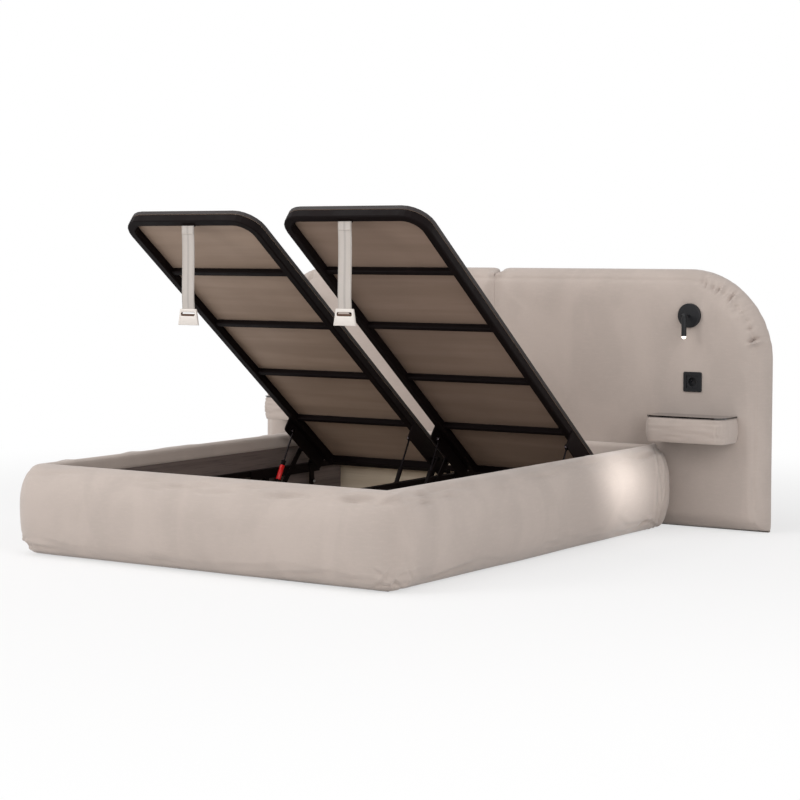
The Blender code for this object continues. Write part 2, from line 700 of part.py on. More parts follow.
REAR_BASE = base_pin(REAR_PIN, REAR_BASE_HEIGHT)
FRONT_BASE = base_pin(FRONT_PIN, FRONT_BASE_HEIGHT)
STRUT_BASE = Vector((FRONT_BASE[0] - STRUT_BASE_BEHIND_FRONT, STRUT_BASE_HEIGHT))
REAR_LINK = (on_platform(REAR_PIN, PIN_DROP, False) - REAR_BASE).length
FRONT_LINK = (on_platform(FRONT_PIN, PIN_DROP, False) - FRONT_BASE).length


def lift_state(open_angle):
    """Angles and places of one platform's linkage, at constant ratios between closed and fully open."""
    share = open_angle / OPEN_ANGLE
    state = {"share": share, "platform": -open_angle}
    bars = (
        ("rear", REAR_BASE, REAR_PIN, PIN_DROP),
        ("front", FRONT_BASE, FRONT_PIN, PIN_DROP),
        ("strut", STRUT_BASE, STRUT_PIN, STRUT_PIN_DROP),
    )
    for name, base, pin, drop in bars:
        closed, opened = on_platform(pin, drop, False), on_platform(pin, drop, True)
        low, high = heading(base, closed), heading(base, opened)
        state[name] = low + share * (high - low)
        state[name + "_travel"] = share * (high - low)
        closed_length, open_length = (closed - base).length, (opened - base).length
        state[name + "_length"] = closed_length + share * (open_length - closed_length)
    reach = turned_place(Vector((REAR_LINK, 0)), state["rear"])
    state["rear_pin"] = REAR_BASE + reach
    return state


# Lift mechanism pieces
MECHANISM_STEEL = 0.005
BRACKET_STEEL = 0.004
BRACKET_LOW = 0.074
BRACKET_HIGH = 0.010
BRACKET_START = 0.045
BRACKET_END = 0.385
LINK_RADIUS = 0.013
PIN_RADIUS = 0.005
PIN_BORE = 0.0055
PIN_HEAD_RADIUS = 0.008
PIN_HEAD = 0.003
PIN_SIDES = 10
STRUT_RADIUS = 0.010
STRUT_BODY = 0.205
STRUT_BORE = 0.0046
STRUT_EYE_RADIUS = 0.0125
STRUT_EYE_WIDTH = 0.010
STRUT_NECK = 0.0095
STRUT_SIDES = 12
ROD_RADIUS = 0.004
ROD_SIDES = 10
ROD_TIP_CLEARANCE = 0.020
BASE_PLATE_START = 0.045
BASE_PLATE_END = 0.060
LUG_HALF = 0.016
LUG_DROP = 0.018
LINK_END_STEPS = 6


def mechanism_sides():
    """Each lift on the right: its name, its base plate's seat, the way to the tube and the tube's face."""
    return (
        ("outer", LEDGE_INNER_X - TOUCH_GAP, -1, PLATFORM_OUTER_X),
        ("inner", HALF_BEAM + TOUCH_GAP, 1, PLATFORM_INNER_X),
    )


def layers(mount, way, tube_face):
    """Where the base plate, links, strut and bracket lie across the bed, from the mount to the tube."""
    plate_end = mount + way * MECHANISM_STEEL
    link_start = plate_end + way * RUN_GAP
    link_end = link_start + way * MECHANISM_STEEL
    return {
        "plate": (mount, plate_end),
        "link": (link_start, link_end),
        "strut": tube_face + way * TUBE / 2,
        "bracket": tube_face - way * BRACKET_STEEL,
    }


def base_plate_outline():
    """A bar along the ledge with three lugs hanging to the lower pins."""
    top, bottom = LEDGE_TOP, LEDGE_BOTTOM - LUG_HALF
    points = [(REAR_BASE[0] + BASE_PLATE_END, top), (STRUT_BASE[0] - BASE_PLATE_START, top)]
    points.append((STRUT_BASE[0] - BASE_PLATE_START, bottom))
    for place in (STRUT_BASE, FRONT_BASE, REAR_BASE):
        low = place[1] - LUG_DROP
        points += [(place[0] - LUG_HALF, bottom), (place[0] - LUG_HALF, low + LUG_HALF / 2)]
        points += [(place[0] - LUG_HALF / 2, low), (place[0] + LUG_HALF / 2, low)]
        points += [(place[0] + LUG_HALF, low + LUG_HALF / 2), (place[0] + LUG_HALF, bottom)]
    points.append((REAR_BASE[0] + BASE_PLATE_END, bottom))
    return points


def headed_pin(bm, place, start, end, way):
    """A pin along X from a seat, with a round head past its end."""
    rims = [(PIN_RADIUS, start), (PIN_RADIUS, end)]
    rims += [(PIN_HEAD_RADIUS, end), (PIN_HEAD_RADIUS, end + way * PIN_HEAD)]
    turned(bm, "X", place, rims, PIN_SIDES)


def lift_base(side, name, black_steel):
    """The base plates of one platform with the riveted pins that its links and struts turn on."""
    for place, mount, way, tube_face in mechanism_sides():
        across = layers(mount, way, tube_face)
        root = sum(across["plate"]) / 2
        bm = bmesh.new()
        plate(bm, "X", base_plate_outline(), *across["plate"])
        mirrored(side, bm)
        made = finished(f"{name}_{place}_lift_plate", bm, black_steel)
        pins = bmesh.new()
        for pin in (REAR_BASE, FRONT_BASE):
            headed_pin(pins, pin, root, across["link"][1] + way * RUN_GAP, way)
        headed_pin(pins, STRUT_BASE, root, across["strut"] + way * (STRUT_EYE_WIDTH / 2 + RUN_GAP), way)
        mirrored(side, pins)
        combine(made, "UNION", [helper(f"{name}_{place}_plate_pins", pins)])


def links(side, name, kind, length, steel, carrier):
    ends = ((0, 0), (length, 0))
    holes = [circle(end, PIN_BORE, PIN_SIDES) for end in ends]
    for place, mount, way, tube_face in mechanism_sides():
        bm = bmesh.new()
        outline = stadium(*ends, LINK_RADIUS, LINK_END_STEPS)
        plate(bm, "X", outline, *layers(mount, way, tube_face)["link"], holes)
        mirrored(side, bm)
        finished(f"{name}_{place}_{kind}_link", bm, steel, carrier)


def gas_struts(side, name, length, black_steel, bright_steel, carrier):
    """Each strut's body turns on its eye, and its rod is drawn out along the same line."""
    closed_length = (on_platform(STRUT_PIN, STRUT_PIN_DROP, False) - STRUT_BASE).length
    tip = length - closed_length + STRUT_NECK + ROD_TIP_CLEARANCE
    body_rims = [
        (STRUT_RADIUS, STRUT_NECK),
        (STRUT_RADIUS, STRUT_BODY),
        (STRUT_BORE, STRUT_BODY),
        (STRUT_BORE, STRUT_NECK + ROD_TIP_CLEARANCE / 2),
    ]
    rod_rims = [(ROD_RADIUS, tip), (ROD_RADIUS, length - STRUT_NECK)]
    pieces = (
        ("cylinder", body_rims, STRUT_SIDES, 0, black_steel),
        ("rod", rod_rims, ROD_SIDES, length, bright_steel),
    )
    for place, mount, way, tube_face in mechanism_sides():
        middle = layers(mount, way, tube_face)["strut"]
        for kind, rims, count, eye_place, steel in pieces:
            bm = bmesh.new()
            turned(bm, "Y", (middle, 0), rims, count)
            mirrored(side, bm)
            made = finished(f"{name}_{place}_strut_{kind}", bm, steel, carrier, smooth=True)
            eye = bmesh.new()
            span = (middle - STRUT_EYE_WIDTH / 2, middle + STRUT_EYE_WIDTH / 2)
            washer(eye, "X", (eye_place, 0), STRUT_EYE_RADIUS, PIN_BORE, *span, PIN_SIDES)
            mirrored(side, eye)
            combine(made, "UNION", [helper(f"{name}_{place}_{kind}_eye", eye, carrier)])


# Sizes of the pull strap, whose bar is welded to the platform
STRAP_FROM_MIDDLE = 0.0155
STRAP_FROM_FOOT = 0.026
STRAP_WIDTH = 0.062
STRAP_THICKNESS = 0.003
STRAP_LENGTH = 0.329
HANDLE_WIDTH = 0.102
HANDLE_HEIGHT = 0.065
HANDLE_THICKNESS = 0.010
HANDLE_SHOULDER = 0.080
SLOT_WIDTH = 0.068
SLOT_HEIGHT = 0.014
SLOT_DROP = 0.014
STRAP_BAR = 0.003
STRAP_BAR_DEPTH = 0.016
STRAP_X = PLATFORM_MIDDLE_X - STRAP_FROM_MIDDLE
STRAP_HINGE_DROP = STRAP_THICKNESS / 2 + RUN_GAP
STRAP_TOP_STEPS = 4
SLOT_ARC_STEPS = 2

# Platform pieces, drawn closed and measured from the rear upper pin
TUBE_WALL = 0.0018
TUBE_CHAMFER = 0.004
PLATFORM_BOARD = 0.016
HEAD_TUBE_RADIUS = 0.040
FOOT_ARC_STEPS = 6
HEAD_ARC_STEPS = 3
CROSS_TUBES = 4
CROSS_TUBE = 0.025
CROSS_TUBE_SINK = 0.0003
DRAIN_RADIUS = 0.003
DRAIN_SIDES = 6
BRACKET_CORNER = 0.012
BRACKET_ARC_STEPS = 2


def platform_place(along, height):
    """A closed platform's place, from its head end and the tube's middle, as seen from the rear upper pin."""
    return (REAR_PIN - along, PIN_DROP + height)


def ring_loops(rim):
    """Loops of a tube bent round the platform's edge, for a section given as inset and height."""
    loops = []
    head, foot = platform_place(0, 0)[0], platform_place(PLATFORM_LENGTH, 0)[0]
    for inset, height in rim:
        low = (PLATFORM_INNER_X + inset, foot + inset)
        high = (PLATFORM_OUTER_X - inset, head - inset)
        radii = [PLATFORM_CORNER_RADIUS - inset] * 2 + [HEAD_TUBE_RADIUS - inset] * 2
        steps = [FOOT_ARC_STEPS, FOOT_ARC_STEPS, HEAD_ARC_STEPS, HEAD_ARC_STEPS]
        outline = rounded_outline(low, high, radii, steps)
        loops.append([Vector((x, y, PIN_DROP + height)) for x, y in outline])
    return loops


def cross_tubes(inset):
    """The platform's cross tubes under the board, thinned by an inset, their ends inside the side tubes."""
    bm = bmesh.new()
    overlap = TUBE_WALL / 2 + inset
    section = tube_section(CROSS_TUBE - 2 * inset, TUBE_CHAMFER)
    for number in range(1, CROSS_TUBES + 1):
        along = PLATFORM_LENGTH * number / (CROSS_TUBES + 1)
        middle = platform_place(along, (TUBE - CROSS_TUBE) / 2 - CROSS_TUBE_SINK)
        outline = [(middle[0] + a, middle[1] + b) for a, b in section]
        plate(bm, "X", outline, PLATFORM_INNER_X + TUBE - overlap, PLATFORM_OUTER_X - TUBE + overlap)
    return bm


def ring_tube(inset):
    """The bent tube round the platform's edge, thinned by an inset."""
    bm = bmesh.new()
    section = tube_section(TUBE - 2 * inset, TUBE_CHAMFER)
    join_loops(bm, ring_loops([(TUBE / 2 + a, b) for a, b in section]), ring=True)
    return bm


def drain_hole():
    bm = bmesh.new()
    place = (PLATFORM_MIDDLE_X, platform_place(TUBE / 2, 0)[0])
    rod(bm, "Z", place, DRAIN_RADIUS, PIN_DROP - TUBE / 2 - CUT_OVERRUN, PIN_DROP, DRAIN_SIDES)
    return bm


def lift_brackets():
    """Plates welded beside the side tubes, and the strap's bar welded under the foot tube."""
    bm = bmesh.new()
    low = platform_place(BRACKET_END, -BRACKET_LOW)
    high = platform_place(BRACKET_START, BRACKET_HIGH)
    outline = rounded_outline(low, high, [BRACKET_CORNER] * 4, [BRACKET_ARC_STEPS] * 4)
    for place, mount, way, tube_face in mechanism_sides():
        plate(bm, "X", outline, layers(mount, way, tube_face)["bracket"], tube_face + way * TUBE_WALL / 2)
    return bm


def strap_bar():
    bm = bmesh.new()
    place = platform_place(PLATFORM_LENGTH - STRAP_FROM_FOOT, -TUBE / 2)
    low = (STRAP_X - STRAP_WIDTH / 2, place[0] - STRAP_BAR_DEPTH / 2, place[1] - STRAP_BAR)
    box(bm, low, (STRAP_X + STRAP_WIDTH / 2, place[0] + STRAP_BAR_DEPTH / 2, place[1] + TUBE_WALL / 2))
    return bm


def upper_pins():
    """The rear links' pins pass through them; the front links' and the struts' studs stop short of them."""
    bm = bmesh.new()
    rear = platform_place(REAR_PIN, -PIN_DROP)
    front = platform_place(FRONT_PIN, -PIN_DROP)
    strut = platform_place(STRUT_PIN, -STRUT_PIN_DROP)
    for place, mount, way, tube_face in mechanism_sides():
        across = layers(mount, way, tube_face)
        root = across["bracket"] + way * BRACKET_STEEL / 2
        shoulder = across["link"][1] + way * RUN_GAP
        rims = [(PIN_HEAD_RADIUS, root), (PIN_HEAD_RADIUS, shoulder), (PIN_RADIUS, shoulder)]
        turned(bm, "X", rear, [*rims, (PIN_RADIUS, across["link"][0])], PIN_SIDES)
        front_face = across["link"][1] + way * TOUCH_GAP
        turned(bm, "X", front, [(PIN_HEAD_RADIUS, root), (PIN_HEAD_RADIUS, front_face)], PIN_SIDES)
        strut_face = across["strut"] - way * (STRUT_EYE_WIDTH / 2 + TOUCH_GAP)
        turned(bm, "X", strut, [(PIN_HEAD_RADIUS, root), (PIN_HEAD_RADIUS, strut_face)], PIN_SIDES)
    return bm


def platform_frame(side, name, black_steel, carrier):
    ring = ring_tube(0)
    mirrored(side, ring)
    made = finished(name + "_platform_frame", ring, black_steel, carrier)
    welds = {"cross_tubes": cross_tubes(0), "brackets": lift_brackets()}
    welds |= {"strap_bar": strap_bar(), "upper_pins": upper_pins()}
    bores = {"ring_bore": ring_tube(TUBE_WALL), "cross_bores": cross_tubes(TUBE_WALL)}
    bores["drain_hole"] = drain_hole()
    for operation, shapes in (("UNION", welds), ("DIFFERENCE", bores)):
        for kind, bm in shapes.items():
            mirrored(side, bm)
            combine(made, operation, [helper(f"{name}_{kind}", bm, carrier)])


def platform_board(side, name, board, carrier):
    bm = bmesh.new()
    low = TUBE / 2 + TOUCH_GAP
    join_loops(bm, ring_loops([(TOUCH_GAP, low), (TOUCH_GAP, low + PLATFORM_BOARD)]))
    mirrored(side, bm)
    finished(name + "_platform_board", bm, board, carrier)


# Pull strap under the foot of each platform
def pull_strap(side, name, surfaces, state):
    middle_x = side * STRAP_X
    hinge = platform_place(PLATFORM_LENGTH - STRAP_FROM_FOOT, -TUBE / 2 - STRAP_BAR - STRAP_HINGE_DROP)
    hang = state["rear_pin"] + turned_place(hinge, state["platform"])
    swing = pivot(name + "_strap_swing", (0, *hang))
    bm = bmesh.new()
    half = STRAP_THICKNESS / 2
    outline = [(-half, -STRAP_LENGTH), (half, -STRAP_LENGTH)]
    for step in range(STRAP_TOP_STEPS + 1):
        angle = step / STRAP_TOP_STEPS * math.pi
        outline.append((half * math.cos(angle), half * math.sin(angle)))
    plate(bm, "X", outline, middle_x - STRAP_WIDTH / 2, middle_x + STRAP_WIDTH / 2)
    finished(name + "_pull_strap", bm, surfaces["webbing"], swing)
    bm = bmesh.new()
    top = -STRAP_LENGTH - TOUCH_GAP
    outline = [
        (middle_x - HANDLE_WIDTH / 2, top - HANDLE_HEIGHT),
        (middle_x + HANDLE_WIDTH / 2, top - HANDLE_HEIGHT),
        (middle_x + HANDLE_SHOULDER / 2, top),
        (middle_x - HANDLE_SHOULDER / 2, top),
    ]
    slot_low = (middle_x - SLOT_WIDTH / 2, top - SLOT_DROP - SLOT_HEIGHT)
    slot_high = (slot_low[0] + SLOT_WIDTH, slot_low[1] + SLOT_HEIGHT)
    slot = rounded_outline(slot_low, slot_high, [SLOT_HEIGHT / 3] * 4, [SLOT_ARC_STEPS] * 4)
    plate(bm, "Y", outline, -HANDLE_THICKNESS / 2, HANDLE_THICKNESS / 2, [slot])
    finished(name + "_strap_handle", bm, surfaces["white_plastic"], swing)


def lift(side, name, open_angle, surfaces):
    state = lift_state(open_angle)
    black, bright = surfaces["black_steel"], surfaces["bright_steel"]
    lift_base(side, name, black)
    rear = pivot(name + "_rear_link_axis", (0, *REAR_BASE), state["rear"])
    links(side, name, "rear", REAR_LINK, black, rear)
    front = pivot(name + "_front_link_axis", (0, *FRONT_BASE), state["front"])
    links(side, name, "front", FRONT_LINK, black, front)
    strut = pivot(name + "_strut_axis", (0, *STRUT_BASE), state["strut"])
    gas_struts(side, name, state["strut_length"], black, bright, strut)
    carrier = pivot(name + "_platform_axis", (0, *state["rear_pin"]), state["platform"])
    platform_frame(side, name, black, carrier)
    platform_board(side, name, surfaces["board"], carrier)
    pull_strap(side, name, surfaces, state)


def main():
    clear_scene()
    surfaces = {
        "fabric": material("beige_fabric", (0.50, 0.44, 0.38), 0.9),
        "back_fabric": material("back_fabric", (0.42, 0.37, 0.32), 0.95),
        "lining": material("dark_board", (0.075, 0.060, 0.055), 0.7),
        "panel": material("floor_board", (0.36, 0.31, 0.27), 0.8),
        "board": material("brown_board", (0.20, 0.14, 0.10), 0.6),
        "wood": material("pine", (0.55, 0.40, 0.24), 0.7),
        "black_steel": material("satin_black_steel", (0.012, 0.011, 0.012), 0.4, 0.6),
        "bright_steel": material("bright_steel", (0.6, 0.6, 0.6), 0.25, 1.0),
        "zinc": material("zinc_steel", (0.45, 0.46, 0.47), 0.4, 1.0),
        "rubber": material("black_rubber", (0.02, 0.02, 0.02), 0.8),
        "black_plastic": material("black_plastic", (0.012, 0.014, 0.016), 0.45),
        "white_plastic": material("white_plastic", (0.75, 0.72, 0.66), 0.4),
        "lens": material("lamp_lens", (0.9, 0.88, 0.8), 0.2),
        "webbing": material("webbing", (0.62, 0.57, 0.50), 0.85),
        "dark_top": material("dark_shelf_top", (0.03, 0.027, 0.026), 0.3),
    }
    base_padding(surfaces["fabric"])
    box_boards(surfaces["lining"])
    box_floor(surfaces["panel"], surfaces["wood"])
    ledge_frame(surfaces["black_steel"])
    rest_pads(surfaces["rubber"])
    headboard_boards(surfaces["back_fabric"], surfaces["zinc"])
    for side, name in ((-1, "left"), (1, "right")):
        headboard_panel(side, name, surfaces["fabric"])
        socket(side, name, surfaces["black_plastic"])
        reading_lamp(side, name, surfaces["black_plastic"], surfaces["lens"])
        shelf(side, name, surfaces["fabric"], surfaces["dark_top"])
        lift(side, name, OPEN_ANGLE if side > 0 else LEFT_OPEN_ANGLE, surfaces)


main()
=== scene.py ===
# %% [markdown]
# # An upholstered storage bed with two lift-up platforms
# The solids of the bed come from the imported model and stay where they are. This script
# gives each of them a finish, and builds the pieces whose looks need more than a solid:
# the padded cover of the box, the headboard, the shelves, the webbing, and the small
# fittings. It could all be sculpted freely, but starting from the solids' own sizes keeps
# every new piece seated on what carries it.

import math
import random

import bpy
import numpy as np
from mathutils import Matrix, Vector, noise


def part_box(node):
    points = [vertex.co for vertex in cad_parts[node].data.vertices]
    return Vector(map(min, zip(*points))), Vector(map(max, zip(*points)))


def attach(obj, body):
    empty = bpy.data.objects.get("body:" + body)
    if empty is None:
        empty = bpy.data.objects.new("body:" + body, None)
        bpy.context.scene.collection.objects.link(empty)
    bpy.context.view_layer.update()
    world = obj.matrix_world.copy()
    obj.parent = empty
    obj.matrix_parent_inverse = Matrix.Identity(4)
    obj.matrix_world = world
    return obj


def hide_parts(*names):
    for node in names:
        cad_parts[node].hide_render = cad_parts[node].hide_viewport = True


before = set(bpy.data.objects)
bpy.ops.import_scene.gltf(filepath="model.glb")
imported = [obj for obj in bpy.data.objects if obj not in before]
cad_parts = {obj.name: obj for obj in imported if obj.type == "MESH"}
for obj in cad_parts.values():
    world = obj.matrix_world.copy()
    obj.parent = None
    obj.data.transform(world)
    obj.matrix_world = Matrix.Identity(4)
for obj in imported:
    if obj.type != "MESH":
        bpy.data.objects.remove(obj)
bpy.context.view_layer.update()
scene = bpy.context.scene
SIDES = {"right": 1, "left": -1}

# %% [markdown]
# ## The camera
# The picture shows the bed from its right foot corner, from about eye height and far
# away. The place and the long lens were worked out from the box's straight edges and the
# headboard's outline.

# %% Camera
CAMERA_PLACE = (5.036, -7.246, 1.245)
CAMERA_DOWN = math.radians(4.276)
CAMERA_TURN = math.radians(33.806)
LENS, SENSOR = 95.43, 36
camera = bpy.data.objects.new("camera", bpy.data.cameras.new("camera"))
scene.collection.objects.link(camera)
camera.location = CAMERA_PLACE
camera.rotation_euler = (math.pi / 2 - CAMERA_DOWN, 0, CAMERA_TURN)
camera.data.sensor_width, camera.data.lens = SENSOR, LENS
scene.camera = camera
scene.view_settings.view_transform = "Standard"
print("camera at", CAMERA_PLACE)

# %% [markdown]
# ## Picking things by hand, in code
# In Blender's window a face is clicked. Here a short test on its place or normal picks
# it. Everything is deselected first, because the loaded solids arrive selected.

# %% Helpers for selecting and editing
MERGE_WITHIN = 0.00005
QUAD_ANGLE = math.radians(40)


def take(piece):
    """Leave edit mode, and make one object the only selected and active one."""
    if bpy.context.object and bpy.context.object.mode != "OBJECT":
        bpy.ops.object.mode_set(mode="OBJECT")
    bpy.ops.object.select_all(action="DESELECT")
    piece.select_set(True)
    bpy.context.view_layer.objects.active = piece


def pick(piece, kind, test):
    """Enter edit mode with the edges or faces selected that pass the test."""
    take(piece)
    bpy.ops.object.mode_set(mode="EDIT")
    bpy.ops.mesh.select_mode(type=kind)
    bpy.ops.mesh.select_all(action="DESELECT")
    bpy.ops.object.mode_set(mode="OBJECT")
    for item in {"EDGE": piece.data.edges, "FACE": piece.data.polygons}[kind]:
        item.select = bool(test(item))
    bpy.ops.object.mode_set(mode="EDIT")


def pick_all(piece):
    take(piece)
    bpy.ops.object.mode_set(mode="EDIT")
    bpy.ops.mesh.select_all(action="SELECT")


def done(piece, name):
    """Write the place into the mesh, and name the piece."""
    take(piece)
    bpy.ops.object.transform_apply(location=True, rotation=True, scale=True)
    piece.name = piece.data.name = name
    return piece


def apply(piece, kind, **settings):
    """Add a modifier with these settings and apply it."""
    take(piece)
    step = piece.modifiers.new(kind, kind)
    for key, value in settings.items():
        setattr(step, key, value)
    bpy.ops.object.modifier_apply(modifier=step.name)


def smooth(piece, levels):
    apply(piece, "SUBSURF", levels=levels, render_levels=levels)


def round_edges(piece, width, segments, angle=30):
    apply(piece, "BEVEL", width=width, segments=segments, limit_method="ANGLE",
          angle_limit=math.radians(angle), use_clamp_overlap=True)


def shade(piece, angle=None):
    take(piece)
    if angle is None:
        bpy.ops.object.shade_smooth()
    else:
        bpy.ops.object.shade_smooth_by_angle(angle=math.radians(angle))


def slab(name, low, high):
    """A primitive cube, scaled and moved to fill a box: the start of a flat piece."""
    low, high = Vector(low), Vector(high)
    bpy.ops.mesh.primitive_cube_add(size=1, location=(low + high) / 2)
    piece = bpy.context.object
    piece.scale = high - low
    return done(piece, name)


def drum(name, centre, radius, depth, sides, turn=0.0):
    """A primitive cylinder along Z, or turned about Y: the start of a turned piece."""
    bpy.ops.mesh.primitive_cylinder_add(vertices=sides, radius=radius, depth=depth,
                                        location=centre, rotation=(0, turn, 0))
    return done(bpy.context.object, name)


def cad_copy(node, name):
    """A copy of a solid's mesh, its loose triangles merged into one skin of quads."""
    piece = bpy.data.objects.new(name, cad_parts[node].data.copy())
    scene.collection.objects.link(piece)
    pick_all(piece)
    bpy.ops.mesh.remove_doubles(threshold=MERGE_WITHIN)
    bpy.ops.mesh.customdata_custom_splitnormals_clear()
    bpy.ops.mesh.tris_convert_to_quads(face_threshold=QUAD_ANGLE, shape_threshold=QUAD_ANGLE)
    bpy.ops.object.mode_set(mode="OBJECT")
    return piece


def twin(piece, name, matrix=Matrix.Scale(-1, 4, (1, 0, 0))):
    """A copy with its own mesh, mirrored to the bed's other side or moved by a matrix."""
    made = bpy.data.objects.new(name, piece.data.copy())
    scene.collection.objects.link(made)
    made.data.transform(matrix)
    if matrix.determinant() < 0:
        made.data.flip_normals()
    return made


def join(name, pieces):
    take(pieces[0])
    for piece in pieces[1:]:
        piece.select_set(True)
    bpy.ops.object.join()
    return done(bpy.context.object, name)


def points(piece, what="co"):
    """The place, or the normal, of each vertex."""
    found = np.empty(len(piece.data.vertices) * 3)
    piece.data.vertices.foreach_get(what, found)
    return found.reshape(-1, 3)


def span(piece, edge):
    """The way from one end of an edge to the other."""
    first, second = (piece.data.vertices[end].co for end in edge.vertices)
    return second - first


def move_to(piece, places):
    piece.data.vertices.foreach_set("co", places.ravel())
    piece.data.update()


def ease(value, low, high):
    """0 below low, 1 above high and a soft step between."""
    share = np.clip((value - low) / (high - low), 0, 1)
    return share * share * (3 - 2 * share)


def report(piece):
    faces = sum(len(face.vertices) - 2 for face in piece.data.polygons)
    print(f"{piece.name}: {faces} triangles")


def hand_over(piece, body, slot, *nodes):
    """Give a piece the body it rides on, and hide the solids it stands for. The slot is not used.
    """
    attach(piece, body)
    if nodes:
        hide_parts(*nodes)
    report(piece)


# %% [markdown]
# ## Materials as Python expressions
# A material in Blender is a graph of nodes. Drawing it by hand is fine for one material,
# but more than twenty share the same steps here, so a small class wraps a socket: adding
# or multiplying two of them adds the Math node that does it.

# %% The socket class and the finish class
class Signal:
    """A number socket that takes part in Python maths."""

    def __init__(self, finish, socket):
        self.finish, self.socket = finish, socket

    def _math(self, operation, other):
        return self.finish.node("ShaderNodeMath", {"operation": operation}, {0: self, 1: other})

    def __add__(self, other):
        return self._math("ADD", other)

    def __mul__(self, other):
        return self._math("MULTIPLY", other)


class Finish:
    """A material being made, with one Principled shader."""

    def __init__(self, name, colour, roughness, **sockets):
        self.material = bpy.data.materials.new(name)
        self.material.use_nodes = True
        self.tree = self.material.node_tree
        self.shader = self.tree.nodes["Principled BSDF"]
        self.set("Base Color", (*colour, 1))
        self.set("Roughness", roughness)
        for key, value in sockets.items():
            self.set(key.replace("_", " "), value)

    def set(self, key, value, node=None):
        """Put a value, or a link from another node, on a socket."""
        socket = (node or self.shader).inputs[key]
        if isinstance(value, Signal):
            self.tree.links.new(value.socket, socket)
        else:
            socket.default_value = value

    def node(self, kind, settings=None, sockets=None, out=0):
        """Any node: its settings first, then the values or links of its sockets."""
        made = self.tree.nodes.new(kind)
        for key, value in (settings or {}).items():
            setattr(made, key, value)
        for key, value in (sockets or {}).items():
            self.set(key, value, made)
        return Signal(self, made.outputs[out])

    def place(self, scale=(1, 1, 1)):
        """Object coordinates, stretched."""
        here = self.node("ShaderNodeTexCoord", out="Object")
        return self.node("ShaderNodeMapping", {}, {"Vector": here, "Scale": scale})

    def noise(self, at, scale, detail, roughness=0.5, distortion=0):
        return self.node("ShaderNodeTexNoise", {}, {"Vector": at, "Scale": scale, "Detail": detail,
                         "Roughness": roughness, "Distortion": distortion}, out="Fac")

    def wave(self, at, scale, direction):
        """Even, undistorted bands across one direction."""
        return self.node("ShaderNodeTexWave", {"bands_direction": direction},
                         {"Vector": at, "Scale": scale, "Detail": 0}, out="Fac")

    def within(self, value, low, high):
        """0 to 1 as a value goes from low to high."""
        return self.node("ShaderNodeMapRange", {"interpolation_type": "SMOOTHSTEP"},
                         {"Value": value, "From Min": low, "From Max": high})

    def mix(self, share, first, second):
        """A colour between two colours, each three numbers or a link."""
        mixed = self.node("ShaderNodeMix", {"data_type": "RGBA"}, {0: share}, out=2)
        made = mixed.socket.node
        for key, value in ((6, first), (7, second)):
            self.set(key, value if isinstance(value, Signal) else (*value, 1), made)
        return mixed

    def bump(self, height, depth, strength, under=None):
        """A bump of a depth in metres, laid over another bump where one is given."""
        sockets = {"Height": height, "Distance": depth, "Strength": strength}
        if under is not None:
            sockets["Normal"] = under
        return self.node("ShaderNodeBump", {}, sockets)


def linear(red, green, blue):
    """A colour as a screen shows it, 0 to 255, in the linear numbers that shaders use."""
    return tuple((c / 255 / 12.92) if c <= 10 else ((c / 255 + 0.055) / 1.055) ** 2.4
                 for c in (red, green, blue))


def darker(colour, share):
    return tuple(c * share for c in colour)


def dress(material, *nodes):
    """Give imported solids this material."""
    for node in nodes:
        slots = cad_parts[node].data.materials
        slots.clear()
        slots.append(material)


def clothe(piece, material):
    piece.data.materials.clear()
    piece.data.materials.append(material)
    return piece


def both(*names):
    return [side + "_" + name for name in names for side in SIDES]


print("helpers ready")

# %% [markdown]
# ## The upholstery
# The cover is a short, dense pile in a warm grey-beige. Where the pile has been brushed
# another way it looks a little darker or lighter, in soft patches as long as a hand, with
# finger-wide streaks, and close up it breaks into fine threads. Three noises at those
# sizes mix near colours, and the first and the last also lift the surface. The sheen at
# grazing angles is the shader's own, so it is one number on its socket.

# %% Upholstery and the plain cloth at the back
FABRIC = linear(188, 176, 168)
PATCH_SHADE = 0.91
NAP_DEPTH, THREAD_DEPTH = 0.0011, 0.0004
WEAVE_SCALE = 500


def pile(name, colour):
    """Brushed pile with soft patches."""
    made = Finish(name, colour, 0.92, Sheen_Weight=0.35, Sheen_Roughness=0.45,
                  Specular_IOR_Level=0.15)
    here = made.place()
    brushed = made.noise(made.place(scale=(1.0, 1.0, 0.6)), 4.5, detail=4, distortion=0.6)
    streaks = made.noise(made.place(scale=(1, 1, 5)), 26, detail=3)
    threads = made.noise(here, 620, detail=2)
    soft = made.within(brushed, 0.38, 0.64)
    tone = made.mix(soft, darker(colour, PATCH_SHADE), colour)
    tone = made.mix(made.within(streaks, 0.45, 0.75) * 0.22, tone, darker(colour, 1.10))
    tone = made.mix(made.within(threads, 0.5, 0.72) * 0.3, tone, darker(colour, 0.72))
    made.set("Base Color", tone)
    made.set("Roughness", made.within(brushed, 0.3, 0.7) * 0.12 + 0.82)
    nap = made.bump(brushed, NAP_DEPTH, 0.6)
    made.set("Normal", made.bump(threads, THREAD_DEPTH, 0.55, under=nap))
    return made.material


def plain_cloth(name, colour):
    """A flat weave: two crossing waves."""
    made = Finish(name, colour, 0.95)
    here = made.place()
    weave = made.wave(here, WEAVE_SCALE, "X") * made.wave(here, WEAVE_SCALE, "Z")
    grime = made.noise(here, 9, detail=4)
    tone = made.mix(weave, darker(colour, 0.75), colour)
    tone = made.mix(made.within(grime, 0.4, 0.8) * 0.25, tone, darker(colour, 0.7))
    made.set("Base Color", tone)
    made.set("Normal", made.bump(weave, 0.0002, 0.5))
    return made.material


upholstery = pile("upholstery_pile", FABRIC)
back_cloth = plain_cloth("back_cloth", linear(150, 139, 129))
print(upholstery.name, back_cloth.name)

